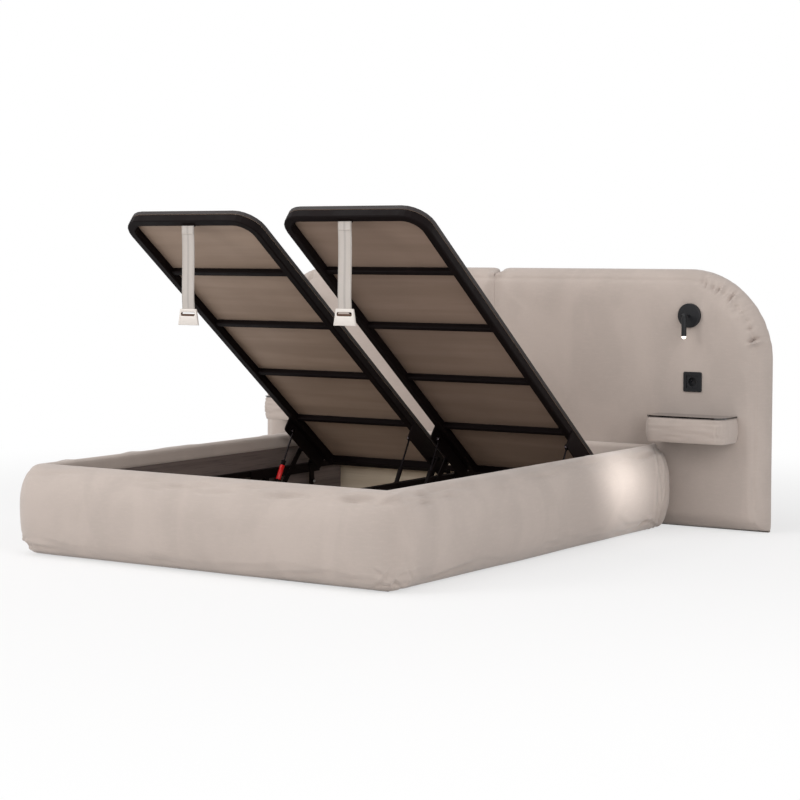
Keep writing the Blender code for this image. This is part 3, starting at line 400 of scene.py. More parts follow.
# %% [markdown]
# ## Boards
# The box is lined with a dark laminated board whose printed grain runs along it, the
# floor is a paler one, and the head board and the batten are raw wood. Grain is noise
# pulled out to thirty times its width; the direction is the one the board was cut in.

# %% Board finishes
GRAIN = {"X": (0.35, 11, 11), "Y": (11, 0.35, 11)}
PORE_DEPTH = 0.0004
LINING = linear(112, 100, 96), linear(74, 64, 62)


def board(name, light, dark, along, roughness):
    made = Finish(name, light, roughness)
    here = made.place(scale=GRAIN[along])
    bands = made.noise(here, 1.4, detail=5, roughness=0.55, distortion=0.25)
    fine = made.noise(here, 22, detail=3)
    handled = made.noise(made.place(), 5, detail=4)
    tone = made.mix(made.within(bands, 0.35, 0.65), dark, light)
    tone = made.mix(made.within(fine, 0.5, 0.75) * 0.5, tone, darker(dark, 0.75))
    made.set("Base Color", tone)
    made.set("Roughness", made.within(handled, 0.3, 0.7) * 0.14 + (roughness - 0.07))
    made.set("Normal", made.bump(fine, PORE_DEPTH, 0.6))
    return made.material


lining_board = board("lining_board", *LINING, "Y", 0.55)
lining_board_across = board("lining_board_across", *LINING, "X", 0.55)
floor_board = board("floor_board", linear(178, 168, 158), linear(150, 139, 129), "Y", 0.6)
raw_board = board("raw_board", linear(214, 200, 180), linear(196, 180, 158), "X", 0.7)
batten_wood = board("batten_wood", linear(205, 176, 132), linear(170, 136, 92), "Y", 0.7)
print("boards ready")

# %% [markdown]
# ## The platforms' plywood and the shelves' glass
# The plywood under the mattress is brown on its faces and stained dark on its sawn edges.
# A platform stands open at rest, so its faces point along one slanted direction: where a
# surface's normal leaves that direction, the edge stain shows. The shelves carry a slip
# of black glass. Seen this flat it mirrors the headboard, and only its front edge is dark.

# %% Plywood and glass
def plywood(name, face, streak, stain, lean):
    made = Finish(name, face, 0.62)
    here = made.place(scale=(0.6, 8, 8))
    bands = made.noise(here, 2.2, detail=4, distortion=0.2)
    fine = made.noise(made.place(scale=(2.5, 60, 60)), 5, detail=3)
    cloud = made.noise(made.place(), 3.0, detail=3)
    tone = made.mix(made.within(bands, 0.30, 0.72), streak, face)
    tone = made.mix(made.within(fine, 0.5, 0.8) * 0.18, tone, darker(streak, 0.85))
    tone = made.mix(made.within(cloud, 0.4, 0.7) * 0.25, tone, darker(streak, 0.8))
    normal = made.node("ShaderNodeTexCoord", out="Normal")
    facing = made.node("ShaderNodeVectorMath", {"operation": "DOT_PRODUCT"},
                       {0: normal, 1: (0, math.sin(lean), math.cos(lean))}, out=1)
    flat = made.within(facing * facing, 0.3, 0.6)
    made.set("Base Color", made.mix(flat, stain, tone))
    made.set("Roughness", made.within(cloud, 0.3, 0.7) * 0.12 + 0.56)
    made.set("Normal", made.bump(fine, 0.0002, 0.5))
    return made.material


def glass(name, colour):
    made = Finish(name, colour, 0.05, Coat_Weight=0.6, Coat_Roughness=0.03)
    dust = made.noise(made.place(), 130, detail=4)
    smear = made.noise(made.place(scale=(1, 3, 1)), 9, detail=3)
    tone = made.mix(made.within(dust, 0.55, 0.8) * 0.3, colour, darker(colour, 2.0))
    made.set("Base Color", tone)
    made.set("Roughness", made.within(smear, 0.4, 0.8) * 0.08 + 0.04)
    return made.material


PLATFORM_LEAN = {"right": math.radians(38.155), "left": math.radians(37.576)}
# Painted light and shade: the same plywood is painted lighter on the left platform as painted
# light from the left, and darker on the right one as painted shade.
PLATFORM_FACE_LIT_AND_SHADED = {"right": (linear(150, 128, 113), linear(138, 117, 102)),
                 "left": (linear(172, 149, 131), linear(158, 136, 119))}
PLATFORM_STAIN = linear(27, 18, 17)
platform_board = {
    side: plywood(side + "_platform_board", *PLATFORM_FACE_LIT_AND_SHADED[side], PLATFORM_STAIN, lean)
    for side, lean in PLATFORM_LEAN.items()}
shelf_glass = glass("shelf_glass", linear(24, 21, 21))
print("plywood and glass ready")

# %% [markdown]
# ## Metal
# The tubes and links are powder coated: matt black with the fine dimples of an orange's
# skin and a little pale dust. The rods of the gas struts are blackened and polished, and
# the joining plate, nuts and screws are zinc plated with its cloudy spangle.

# %% Metal finishes
def powder_coat(name, colour, roughness):
    made = Finish(name, colour, roughness, Specular_IOR_Level=0.07)
    here = made.place()
    dimples = made.noise(here, 700, detail=2)
    dust = made.noise(here, 13, detail=5)
    tone = made.mix(made.within(dust, 0.5, 0.8) * 0.5, colour, darker(colour, 2.2))
    made.set("Base Color", tone)
    made.set("Roughness", made.within(dust, 0.35, 0.75) * 0.16 + roughness)
    made.set("Normal", made.bump(dimples, 0.00015, 0.4))
    return made.material


def polished(name, colour, roughness):
    """Steel with a fine polished grain and faint smears."""
    made = Finish(name, colour, roughness, Metallic=1.0)
    here = made.place()
    grain = made.noise(here, 900, detail=2)
    smear = made.noise(here, 40, detail=3)
    made.set("Base Color", made.mix(smear, darker(colour, 0.82), colour))
    made.set("Roughness", made.within(smear, 0.3, 0.8) * 0.12 + roughness)
    made.set("Normal", made.bump(grain, 0.00003, 0.3))
    return made.material


def zinc(name):
    colour = linear(190, 193, 196)
    made = Finish(name, colour, 0.35, Metallic=1.0)
    here = made.place()
    spangle = made.noise(here, 60, detail=2, distortion=2.0)
    share = made.within(spangle, 0.35, 0.65)
    made.set("Base Color", made.mix(share, darker(colour, 0.7), colour))
    made.set("Roughness", made.within(spangle, 0.3, 0.7) * 0.2 + 0.28)
    made.set("Normal", made.bump(spangle, 0.00005, 0.3))
    return made.material


black_steel = powder_coat("black_powder_coat", linear(17, 11, 11), 0.52)
rod_steel = polished("rod_steel", linear(38, 34, 36), 0.2)
zinc_steel = zinc("zinc_steel")
print("metals ready")

# %% [markdown]
# ## Plastics, rubber and webbing
# Moulded plastic has a spark-eroded grain and wears in soft patches. The webbing is woven:
# warp ribs run its whole length and a finer weft crosses them. Darker bands along each
# edge and down the middle are painted shade. All follow the strap's own width, so they
# read the piece's UV map.

# %% Plastic, rubber, lens and webbing
def plastic(name, colour, roughness, grain=0.00006, coat=0.0):
    made = Finish(name, colour, roughness, Coat_Weight=coat, Coat_Roughness=0.2,
                  Specular_IOR_Level=0.3)
    here = made.place()
    erosion = made.noise(here, 1400, detail=2)
    worn = made.noise(here, 22, detail=4)
    tone = made.mix(made.within(worn, 0.45, 0.8) * 0.3, colour, darker(colour, 0.8))
    made.set("Base Color", tone)
    made.set("Roughness", made.within(worn, 0.3, 0.75) * 0.12 + roughness)
    made.set("Normal", made.bump(erosion, grain, 0.5))
    return made.material


def glowing(name, colour, strength):
    """A frosted lens that gives light."""
    made = Finish(name, colour, 0.3)
    haze = made.noise(made.place(), 300, detail=2)
    made.set("Emission Color", made.mix(haze, darker(colour, 0.85), colour))
    made.set("Emission Strength", strength)
    made.set("Normal", made.bump(haze, 0.0001, 0.4))
    return made.material


def webbing_weave(name, colour):
    made = Finish(name, colour, 0.85, Sheen_Weight=0.2)
    across = made.node("ShaderNodeUVMap", {"uv_map": "UVMap"})
    ribs = made.wave(across, 7.0, "X")
    weft = made.wave(across, 95.0, "Y")
    bands = made.wave(across, 0.628, "X")
    worn = made.noise(made.place(), 90, detail=3)
    weave = ribs * 0.7 + weft * 0.3
    tone = made.mix(weave, darker(colour, 0.68), colour)
    # Painted shade: darker bands along the strap's two edges and down its middle.
    tone = made.mix(made.within(bands, 0.0, 0.45), darker(colour, 0.66), tone)
    tone = made.mix(made.within(worn, 0.45, 0.8) * 0.3, tone, darker(colour, 0.8))
    made.set("Base Color", tone)
    made.set("Normal", made.bump(weave, 0.0006, 0.8))
    return made.material


black_plastic = plastic("black_plastic", linear(25, 26, 29), 0.45)
handle_plastic = plastic("handle_plastic", linear(220, 213, 206), 0.35, 0.00003, coat=0.3)
slot_plastic = plastic("slot_plastic", linear(86, 62, 46), 0.5)
red_band = plastic("red_band", linear(222, 18, 20), 0.4, coat=0.3)
rest_rubber = plastic("rest_rubber", linear(34, 34, 35), 0.78, 0.0002)
lens_glow = glowing("lens_glow", linear(255, 248, 236), 1.8)
webbing = webbing_weave("webbing", linear(208, 200, 193))
thread = plastic("thread", linear(196, 184, 172), 0.8, 0.0001)
print("plastics and webbing ready")

# %% [markdown]
# ## Dressing the solids that stay
# Boards, tubes, links, struts and pads already have their real shape, so they only get
# their finish.

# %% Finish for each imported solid
dress(lining_board, "left_side_board", "right_side_board")
dress(lining_board_across, "foot_board")
dress(raw_board, "head_board")
dress(floor_board, "left_floor_panel", "right_floor_panel")
dress(batten_wood, "floor_batten")
dress(black_steel, "ledge_frame", *both("platform_frame"))
for side, material in platform_board.items():
    dress(material, side + "_platform_board")
dress(back_cloth, *both("headboard_board"))
dress(zinc_steel, "headboard_joining_plate")
dress(rest_rubber, *both("rest_pad"))
dress(shelf_glass, *both("shelf_board"))
dress(black_plastic, *both("socket_frame", "socket_insert"))
dress(black_plastic, *both("lamp_rose", "lamp_arm", "lamp_head"))
dress(lens_glow, *both("lamp_lens"))
dress(handle_plastic, *both("strap_handle"))
dress(webbing, *both("pull_strap"))
for place in ("outer", "inner"):
    for part in ("lift_plate", "rear_link", "front_link", "strut_cylinder"):
        dress(black_steel, *both(f"{place}_{part}"))
    dress(rod_steel, *both(f"{place}_strut_rod"))
dress(upholstery, "base_padding", *both("headboard_padding", "shelf_padding"))
print("solids dressed")

# %% [markdown]
# ## The padded cover of the box
# On the real bed a foam-backed cover is pulled over the four boards of the box and
# stapled inside, so each side bulges like a D and the corners pull into small gathers.
# It could be sculpted, but the solid already has the right section. A copy of it is cut
# finer, blown up by a short cloth simulation with its inner faces held, and the gathers
# are then pressed in near the edges, where the staples pull.

# %% Cloth under pressure
SWELL_FRAMES, PRESSURE = 20, 4.0


def swell(piece, held, most):
    """Blow a closed skin up as cloth, holding the vertices of `held`, and cap each move."""
    start = points(piece)
    group = piece.vertex_groups.new(name="held")
    group.add([int(i) for i in np.flatnonzero(held)], 1.0, "REPLACE")
    step = piece.modifiers.new("cloth", "CLOTH")
    cloth = step.settings
    cloth.quality = 5
    cloth.mass = 0.3
    cloth.tension_stiffness = cloth.compression_stiffness = 25
    cloth.bending_stiffness = 1.5
    cloth.use_pressure, cloth.uniform_pressure_force = True, PRESSURE
    cloth.effector_weights.gravity = 0
    cloth.vertex_group_mass = "held"
    step.collision_settings.use_collision = False
    for number in range(1, SWELL_FRAMES + 1):
        scene.frame_set(number)
    take(piece)
    bpy.ops.object.modifier_apply(modifier=step.name)
    scene.frame_set(1)
    piece.vertex_groups.clear()
    move = points(piece) - start
    length = np.linalg.norm(move, axis=1, keepdims=True)
    move *= np.minimum(1, most / np.maximum(length, 1e-9))
    move_to(piece, start + move)
    largest = round(float(length.max()) * 1000, 1)
    print(piece.name, "swelled by up to", largest, "mm before the cap")


def cut_long_edges(piece, length, cuts, sharpness, crease):
    """Divide the edges over a length, crease the sharp ones, and smooth once."""
    pick(piece, "EDGE", lambda edge: span(piece, edge).length > length)
    bpy.ops.mesh.subdivide(number_cuts=cuts)
    bpy.ops.mesh.select_all(action="DESELECT")
    bpy.ops.mesh.edges_select_sharp(sharpness=math.radians(sharpness))
    bpy.ops.transform.edge_crease(value=crease)
    smooth(piece, 1)


def ripple(places, scale, seed):
    """Noise from -1 to 1 at each place, with its own scale along x, y and z."""
    return np.array([noise.noise((x * scale[0] + seed, y * scale[1], z * scale[2]))
                     for x, y, z in places.tolist()])


def creases(along, up, marks):
    """Pulled folds on a surface: each mark is a place along and up, half a length, half a
    width, a tilt and a depth. A fold is a groove with a soft ridge on its upper side."""
    total = np.zeros(len(along))
    for at, height, length, width, tilt, depth in marks:
        cos, sin = math.cos(tilt), math.sin(tilt)
        lengthwise = (along - at) * cos + (up - height) * sin
        across = (up - height) * cos - (along - at) * sin
        taper = np.exp(-(lengthwise / length) ** 2)
        groove = np.exp(-(across / width) ** 2)
        ridge = np.exp(-((across - 1.7 * width) / width) ** 2)
        total += depth * taper * (0.7 * ridge - groove)
    return total


def scatter(count, seed, along, up, length, width, tilt, depth):
    """Marks for creases, each of their numbers drawn evenly between two limits."""
    draw = random.Random(seed)
    return [tuple(draw.uniform(*limits) for limits in (along, up, length, width, tilt, depth))
            for _ in range(count)]


def press(piece, amount):
    """Move each vertex along its own normal."""
    move_to(piece, points(piece) + points(piece, "normal") * amount[:, None])


# %% Box cover
INNER_X, INNER_FOOT, INNER_HEAD = 0.829, -1.045, 0.995
LONG_SIDE, COVER_CUTS, COVER_MOST = 0.5, 31, 0.005
STAPLED_BELOW, STAPLED_PAST = 0.02, 1.02
FINE_X, FINE_HEAD, FINE_FOOT = 0.84, 0.76, -1.02


def within_box(x, y, margin):
    """True on the faces that line the box."""
    return (abs(x) < INNER_X + margin) & (y > INNER_FOOT - margin) & (y < INNER_HEAD + margin)


base_cover = cad_copy("base_padding", "base_cover")
cut_long_edges(base_cover, LONG_SIDE, COVER_CUTS, 50, 0.9)
x, y, z = points(base_cover).T
held = within_box(x, y, 0.004) | (z < STAPLED_BELOW) | (y > STAPLED_PAST)
swell(base_cover, held, COVER_MOST)
pick(base_cover, "FACE", lambda face: abs(face.center.x) > FINE_X
     and (face.center.y > FINE_HEAD or face.center.y < FINE_FOOT))
bpy.ops.mesh.subdivide(number_cuts=2)
smooth(base_cover, 1)

# %% Gathers of the box cover
# A place along the cover is counted from the middle of its foot round to the head end,
# past the corner at about 0.95. The marks lie along the top and the bottom edge, then on
# each side at the foot's corner, upright at the head end, and along the floor near it.
# Each side also has a soft knuckle near its head end.
FOOT = -1.15395
SOFT_WAVES, WAVE_DEPTH = (2.6, 2.6, 5), 0.0024
KNUCKLE, KNUCKLE_Y, KNUCKLE_Z = 0.006, 0.90, 0.20
x, y, z = points(base_cover).T
around = x + np.sign(x) * (y - FOOT)
outside = 1 - within_box(x, y, 0.01)
clear_of_board = 1 - ease(y, 1.01, 1.035)
marks = scatter(90, 11, (-3.0, 3.0), (0.312, 0.350), (0.05, 0.13), (0.006, 0.009),
                (-0.12, 0.12), (0.003, 0.0065))
marks += scatter(80, 12, (-3.0, 3.0), (0.030, 0.070), (0.04, 0.11), (0.006, 0.010),
                 (-0.16, 0.16), (0.002, 0.0042))
for end in (-1, 1):
    marks += scatter(14, 20 + end, (end * 0.86, end * 1.10), (0.02, 0.08), (0.03, 0.06),
                     (0.006, 0.010), (-0.9, 0.9), (0.0015, 0.0036))
    marks += scatter(18, 30 + end, (end * 2.93, end * 3.10), (0.06, 0.30), (0.05, 0.12),
                     (0.007, 0.011), (1.25, 1.85), (0.003, 0.0070))
    marks += scatter(10, 40 + end, (end * 2.60, end * 3.00), (0.02, 0.08), (0.03, 0.07),
                     (0.006, 0.010), (-0.5, 0.5), (0.003, 0.0055))
soft = ripple(points(base_cover), SOFT_WAVES, seed=1.3)
knuckle = KNUCKLE * np.exp(-((y - KNUCKLE_Y) / 0.07) ** 2)
knuckle = knuckle * np.exp(-((z - KNUCKLE_Z) / 0.09) ** 2) * (abs(x) > 0.8)
amount = creases(around, z, marks) + WAVE_DEPTH * soft + knuckle
press(base_cover, amount * outside * clear_of_board)
shade(base_cover)
clothe(base_cover, upholstery)
hand_over(base_cover, "base", "upholstery", "base_padding")

# %% [markdown]
# ## The headboard's two panels
# Each panel is a thick pad whose front rolls over to its sides; the outer top corner has
# a large radius, where the cloth puckers, and the two meet in a tight middle seam. One
# panel is made like the box's cover, from a remeshed copy of the solid. The remesh would
# lose the socket's hole, so it is filled first and cut again at the end. The other panel
# is a mirrored copy.

# %% Headboard panel
panel_low, panel_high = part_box("right_headboard_padding")
PANEL_FRONT = panel_low[1]
WIDE, PANEL_BACK, HIGH = panel_high
SOCKET = Vector((1.008, PANEL_FRONT, 0.641))
POCKET_HALF, POCKET_DEPTH = 0.0285, 0.0143
PANEL_VOXEL, PANEL_MOST = 0.016, 0.006


def pocket(name, front, grow=0.0):
    half = POCKET_HALF + grow
    return slab(name, (SOCKET.x - half, front, SOCKET.z - half),
                (SOCKET.x + half, PANEL_FRONT + POCKET_DEPTH + grow, SOCKET.z + half))


def boolean(piece, tool, operation):
    apply(piece, "BOOLEAN", operation=operation, object=tool, solver="EXACT")
    bpy.data.objects.remove(tool)


right_panel = cad_copy("right_headboard_padding", "right_headboard_cover")
boolean(right_panel, pocket("filling", PANEL_FRONT, 0.002), "UNION")
apply(right_panel, "REMESH", mode="VOXEL", voxel_size=PANEL_VOXEL, use_smooth_shade=True)
apply(right_panel, "SMOOTH", factor=0.5, iterations=1)
places = points(right_panel)
held = (places[:, 1] > PANEL_BACK - 0.004) | (places[:, 2] < 0.03)
swell(right_panel, held, PANEL_MOST)
smooth(right_panel, 1)
print("panel front", round(PANEL_FRONT, 5), "back", round(PANEL_BACK, 5))

# %% Outline and seam of the panel
# The remesh and the pressure leave the panel a little off the solid's outline. Its edges
# are drawn back to it, the side at the seam is laid flat, and the top dips there.
OUTLINE_REACH = 0.12
SEAM_REACH, SEAM_GAP, SEAM_FULL = 0.055, 0.0002, 0.975
DIP_REACH, DIP, CORNER = 0.11, 0.018, 0.39
x, y, z = points(right_panel).T
near_seam = 1 - ease(x, 0.0, SEAM_REACH)
x = x + (WIDE - x.max()) * ease(x, WIDE - OUTLINE_REACH, WIDE) - x.min() * near_seam
x = SEAM_GAP + x * ease(x, 0.004, 0.020)
z = z + (HIGH - z.max()) * ease(z, HIGH - OUTLINE_REACH, HIGH)
depth = PANEL_BACK - y
full = PANEL_BACK - PANEL_FRONT
filled = depth + (full - depth) * near_seam * SEAM_FULL * ease(depth, 0.012, 0.035)
depth = np.where(depth > 0.02, filled, depth)
y = np.maximum(PANEL_BACK - depth, PANEL_FRONT - 0.0015)
z = z - DIP * (1 - ease(x, 0.0, DIP_REACH)) * ease(z, HIGH - 0.16, HIGH)
right, up = np.maximum(x - (WIDE - CORNER), 0), np.maximum(z - (HIGH - CORNER), 0)
reach = np.maximum(np.hypot(right, up), 1e-6)
to_edge = CORNER - reach
rim = to_edge * (1 - ease(to_edge, 0.012, 0.030)) * (1 - ease(PANEL_BACK - y, 0.015, 0.050))
x = x + right / reach * rim
z = z + up / reach * rim
to_edge = to_edge - rim
move_to(right_panel, np.stack([x, y, z], 1))

# %% Puckers and socket hole of the panel
LAMP_X, LAMP_Z = 0.992, 0.927
BORDER, BORDER_AT, BORDER_WIDE = 0.0036, 0.046, 0.008
SINK, SINK_WAVES = 0.0014, 0.0016
turn = np.arctan2(up, right) * CORNER
marks = scatter(34, 51, (0.10, 0.52), (0.024, 0.056), (0.012, 0.030), (0.006, 0.009),
                (1.2, 1.9), (0.0040, 0.0080))
puckers = creases(turn, to_edge, marks) * ((right > 0) & (up > 0))
border = -BORDER * np.exp(-((to_edge - BORDER_AT) / BORDER_WIDE) ** 2)
soft = ripple(points(right_panel), (3.2, 3.2, 3.2), seed=7.7)
free = ease(PANEL_BACK - y, 0.008, 0.03)
fittings = (ease(np.hypot(x - LAMP_X, z - LAMP_Z), 0.05, 0.10)
            * ease(np.hypot(x - SOCKET.x, z - SOCKET.z), 0.05, 0.11))
sunk = fittings * (SINK + SINK_WAVES * soft)
press(right_panel, free * (puckers + border - sunk))
boolean(right_panel, pocket("socket_hole", PANEL_FRONT - 0.02), "DIFFERENCE")
shade(right_panel, 60)
clothe(right_panel, upholstery)
left_panel = twin(right_panel, "left_headboard_cover")
for side, panel in (("right", right_panel), ("left", left_panel)):
    hand_over(panel, "base", "upholstery", side + "_headboard_padding")

# %% Boards behind the panels
# Their inner top corners are planed off under the dip of the covers.
NOTCH_WIDE, NOTCH_DEEP = 0.135, 0.024
right_backing = cad_copy("right_headboard_board", "right_backing")
pick_all(right_backing)
bpy.ops.mesh.bisect(plane_co=(NOTCH_WIDE, 0, HIGH), plane_no=(-NOTCH_DEEP, 0, NOTCH_WIDE),
                    clear_outer=True, use_fill=True)
round_edges(right_backing, 0.0008, 2, angle=50)
shade(right_backing, 40)
clothe(right_backing, back_cloth)
for side, piece in (("right", right_backing), ("left", twin(right_backing, "left_backing"))):
    hand_over(piece, "base", "back_cloth", side + "_headboard_board")

# %% [markdown]
# ## The bedside shelves
# A shelf is a board wrapped in a thin pad: its front crowns between two tight edges, and
# the cover creases along it. The pad's ring is thin at the back, where a remesh would
# tear it open, so here the solid's own faces are cut finer instead.

# %% Shelf covers
# The first marks lie along the front, the others across the corner that is seen.
SHELF_SIDE, SHELF_CUTS, SHELF_MOST = 0.08, 17, 0.003
WELT, WELT_BELOW, WELT_WIDE = 0.0024, 0.0105, 0.0042
right_shelf = cad_copy("right_shelf_padding", "right_shelf_cover")
cut_long_edges(right_shelf, SHELF_SIDE, SHELF_CUTS, 60, 0.8)
low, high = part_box("right_shelf_padding")


def within_ring(x, y, margin):
    """True on the faces that lie on the shelf's board."""
    return (x > low[0] + margin) & (x < high[0] - margin) & (y > low[1] + margin)


x, y, z = points(right_shelf).T
held = within_ring(x, y, 0.0195) | (y > high[1] - 0.004)
swell(right_shelf, held, SHELF_MOST)
smooth(right_shelf, 1)
x, y, z = points(right_shelf).T
outer = 1 - within_ring(x, y, 0.016)
marks = scatter(11, 61, (low[0], high[0]), (low[2] + 0.018, high[2] - 0.016), (0.04, 0.10),
                (0.0035, 0.0055), (-0.03, 0.03), (0.0020, 0.0045))
marks += scatter(7, 62, (high[0] - 0.05, high[0] + 0.05), (low[2] + 0.02, high[2] - 0.02),
                 (0.015, 0.03), (0.0035, 0.0055), (1.1, 1.9), (0.0020, 0.0040))
along = x + np.where(x > (low[0] + high[0]) / 2, 1, -1) * (y - low[1])
welt = WELT * np.exp(-((z - high[2] + WELT_BELOW) / WELT_WIDE) ** 2)
free = 1 - ease(y, high[1] - 0.02, high[1] - 0.004)
press(right_shelf, (creases(along, z, marks) + welt) * outer * free)
shade(right_shelf)
clothe(right_shelf, upholstery)
left_shelf = twin(right_shelf, "left_shelf_cover")
for side, shelf in (("right", right_shelf), ("left", left_shelf)):
    hand_over(shelf, "base", "upholstery", side + "_shelf_padding")

# %% [markdown]
# ## The pull straps
# Under the foot of each platform hangs a strip of woven webbing with a moulded grip. The
# strip is flat, so it is cut from a slab, made finer along its length, and given a weave
# from its own UV map. Its top is folded double and sewn. The stitches are an array of one
# small capsule, because they catch the light.

# %% Helpers for strips and stitches
def finer(piece, way, cuts):
    """Cut the edges that run along an axis, 0 to 2, into equal pieces."""
    pick(piece, "EDGE",
         lambda edge: abs(span(piece, edge)[way]) > 0.9 * span(piece, edge).length)
    bpy.ops.mesh.subdivide(number_cuts=cuts)
    bpy.ops.object.mode_set(mode="OBJECT")


def lay_weave(piece, start, width):
    """A UV map whose first number runs across a strip and whose second runs along it."""
    layer = piece.data.uv_layers["UVMap"]
    for loop in piece.data.loops:
        place = piece.data.vertices[loop.vertex_index].co
        layer.data[loop.index].uv = ((place.x - start.x) / width, (place.z - start.z) / width)


def stitches(start, step, count, size=(0.0009, 0.0007, 0.0042)):
    """A row of small capsules from one place, a step apart."""
    half = Vector(size) / 2
    row = slab("row", Vector(start) - half, Vector(start) + half)
    round_edges(row, min(size) * 0.45, 2)
    apply(row, "ARRAY", count=count, use_relative_offset=False, use_constant_offset=True,
          constant_offset_displace=step)
    shade(row)
    return row


# %% Webbing strip
strap_low, strap_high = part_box("right_pull_strap")
strap_middle = (strap_low + strap_high) / 2
strap_width = strap_high.x - strap_low.x
strap = slab("strip", strap_low, strap_high)
finer(strap, 2, 47)
finer(strap, 0, 10)
x, y, z = points(strap).T
share = (strap_high.z - z) / (strap_high.z - strap_low.z)
selvedge = ease(abs(x - strap_middle.x), strap_width * 0.42, strap_width * 0.5)
wander = 0.0022 * np.sin(share * 5.2) * ease(share, 0.02, 0.2) * (1 - ease(share, 0.85, 1.0))
y = strap_middle.y + (y - strap_middle.y) * (0.75 + 0.25 * selvedge) + wander
move_to(strap, np.stack([x, y, z], 1))
round_edges(strap, 0.0006, 2, angle=50)
fold_low = Vector((strap_low.x + 0.001, strap_low.y - 0.0012, strap_high.z - 0.034))
fold_high = Vector((strap_high.x - 0.001, strap_high.y - 0.0024, strap_high.z - 0.002))
fold = slab("fold", fold_low, fold_high)
finer(fold, 2, 6)
round_edges(fold, 0.0006, 2, angle=50)
strip = join("right_pull_webbing", [strap, fold])
lay_weave(strip, strap_low, strap_width)
shade(strip, 40)
clothe(strip, webbing)
report(strip)

# %% Stitching of the strip
# Two long rows, then two short upright ones and two across on the fold.
strap_front, fold_front = strap_low.y - 0.0001, fold_low.y - 0.0001
rows = []
for across in (-0.36, 0.36):
    edge = strap_middle.x + across * strap_width
    rows.append(stitches((edge, strap_front, strap_low.z + 0.012), (0, 0, 0.0068), 42))
for across in (-0.44, 0.44):
    edge = strap_middle.x + across * strap_width
    rows.append(stitches((edge, fold_front, fold_low.z + 0.004), (0, 0, 0.0055), 5))
for height in (fold_low.z + 0.003, fold_high.z - 0.004):
    rows.append(stitches((strap_middle.x - 0.026, fold_front, height), (0.0052, 0, 0), 11,
                         size=(0.0040, 0.0007, 0.0009)))
sewing = join("right_strap_stitching", rows)
clothe(sewing, thread)
report(sewing)

# %% Both straps
LEFT_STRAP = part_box("left_pull_strap")[0] - strap_low
LEFT_STRAP.x = 0


def to_left(piece, name):
    """Mirror a strap piece, then move it to where the left strap hangs."""
    return twin(piece, name, Matrix.Translation(LEFT_STRAP) @ Matrix.Scale(-1, 4, (1, 0, 0)))


left_strip = to_left(strip, "left_pull_webbing")
left_sewing = to_left(sewing, "left_strap_stitching")
for side, band, seam in (("right", strip, sewing), ("left", left_strip, left_sewing)):
    hand_over(band, side + "_pull_strap", "webbing", side + "_pull_strap")
    hand_over(seam, side + "_pull_strap", "webbing")

# %% [markdown]
# ## The grips
# Each grip is one moulding: a trapezoid with soft edges and a slot that the webbing is
# drawn through. The solid already has the outline, so its edges are bevelled, and the
# faces inside the slot take the brown of the webbing's turned end.

# %% Grips
grip_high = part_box("right_strap_handle")[1]
grip = cad_copy("right_strap_handle", "right_grip")
pick_all(grip)
bpy.ops.mesh.dissolve_limited(angle_limit=math.radians(2))
round_edges(grip, 0.0019, 3, angle=40)
shade(grip, 35)
clothe(grip, handle_plastic)
grip.data.materials.append(slot_plastic)
SLOT_HIGH, SLOT_LOW = grip_high.z - 0.0125, grip_high.z - 0.0295
for face in grip.data.polygons:
    here = face.center
    inner = SLOT_LOW < here.z < SLOT_HIGH and abs(here.x - strap_middle.x) < 0.0355
    face.material_index = int(inner and abs(face.normal.y) < 0.9)
END_HALF = Vector((0.0325, 0.0030, 0.00425))
end_middle = Vector((strap_middle.x, strap_middle.y, grip_high.z - 0.02425))
turned_end = slab("right_turned_end", end_middle - END_HALF, end_middle + END_HALF)
finer(turned_end, 0, 12)
round_edges(turned_end, 0.0018, 3, angle=40)
shade(turned_end)
clothe(turned_end, slot_plastic)
left_grip = to_left(grip, "left_grip")
left_end = to_left(turned_end, "left_turned_end")
for side, handle, end in (("right", grip, turned_end), ("left", left_grip, left_end)):
    hand_over(handle, side + "_pull_strap", "handle_plastic", side + "_strap_handle")
    hand_over(end, side + "_pull_strap", "webbing")

# %% [markdown]
# ## Fittings of the lift
# A gas strut has a rolled collar where its rod goes in, the left one at the outside wears
# a plain red sleeve, and nuts sit on the lower pins. Each is turned: a torus or a drum is
# squeezed to its section, then laid along the strut or the pin.

# %% Collars and sleeve on the struts
STRUT_FOOT = Vector((0, 0.292676, 0.075))
STRUT_TOP = {"right": Vector((0, 0.464511, 0.388825)), "left": Vector((0, 0.4664, 0.3856))}
STRUT_AT = {"outer": 0.7115, "inner": 0.0775}
BODY_LENGTH, BODY_RADIUS = 0.205, 0.010


def along_strut(piece, side, place, distance):
    """Lay a piece made at the origin, along Z, on a strut at a distance from its foot."""
    way = (STRUT_TOP[side] - STRUT_FOOT).normalized()
    spot = STRUT_FOOT + way * distance
    spot.x = SIDES[side] * STRUT_AT[place]
    turned = way.to_track_quat("Z", "Y").to_matrix().to_4x4()
    piece.data.transform(Matrix.Translation(spot) @ turned)
    return piece


def collar(name, radius, thick, long):
    bpy.ops.mesh.primitive_torus_add(major_radius=radius - thick / 2, minor_radius=thick / 2,
                                     major_segments=28, minor_segments=10)
    ring = bpy.context.object
    ring.scale.z = long / thick
    done(ring, name)
    shade(ring)
    return ring


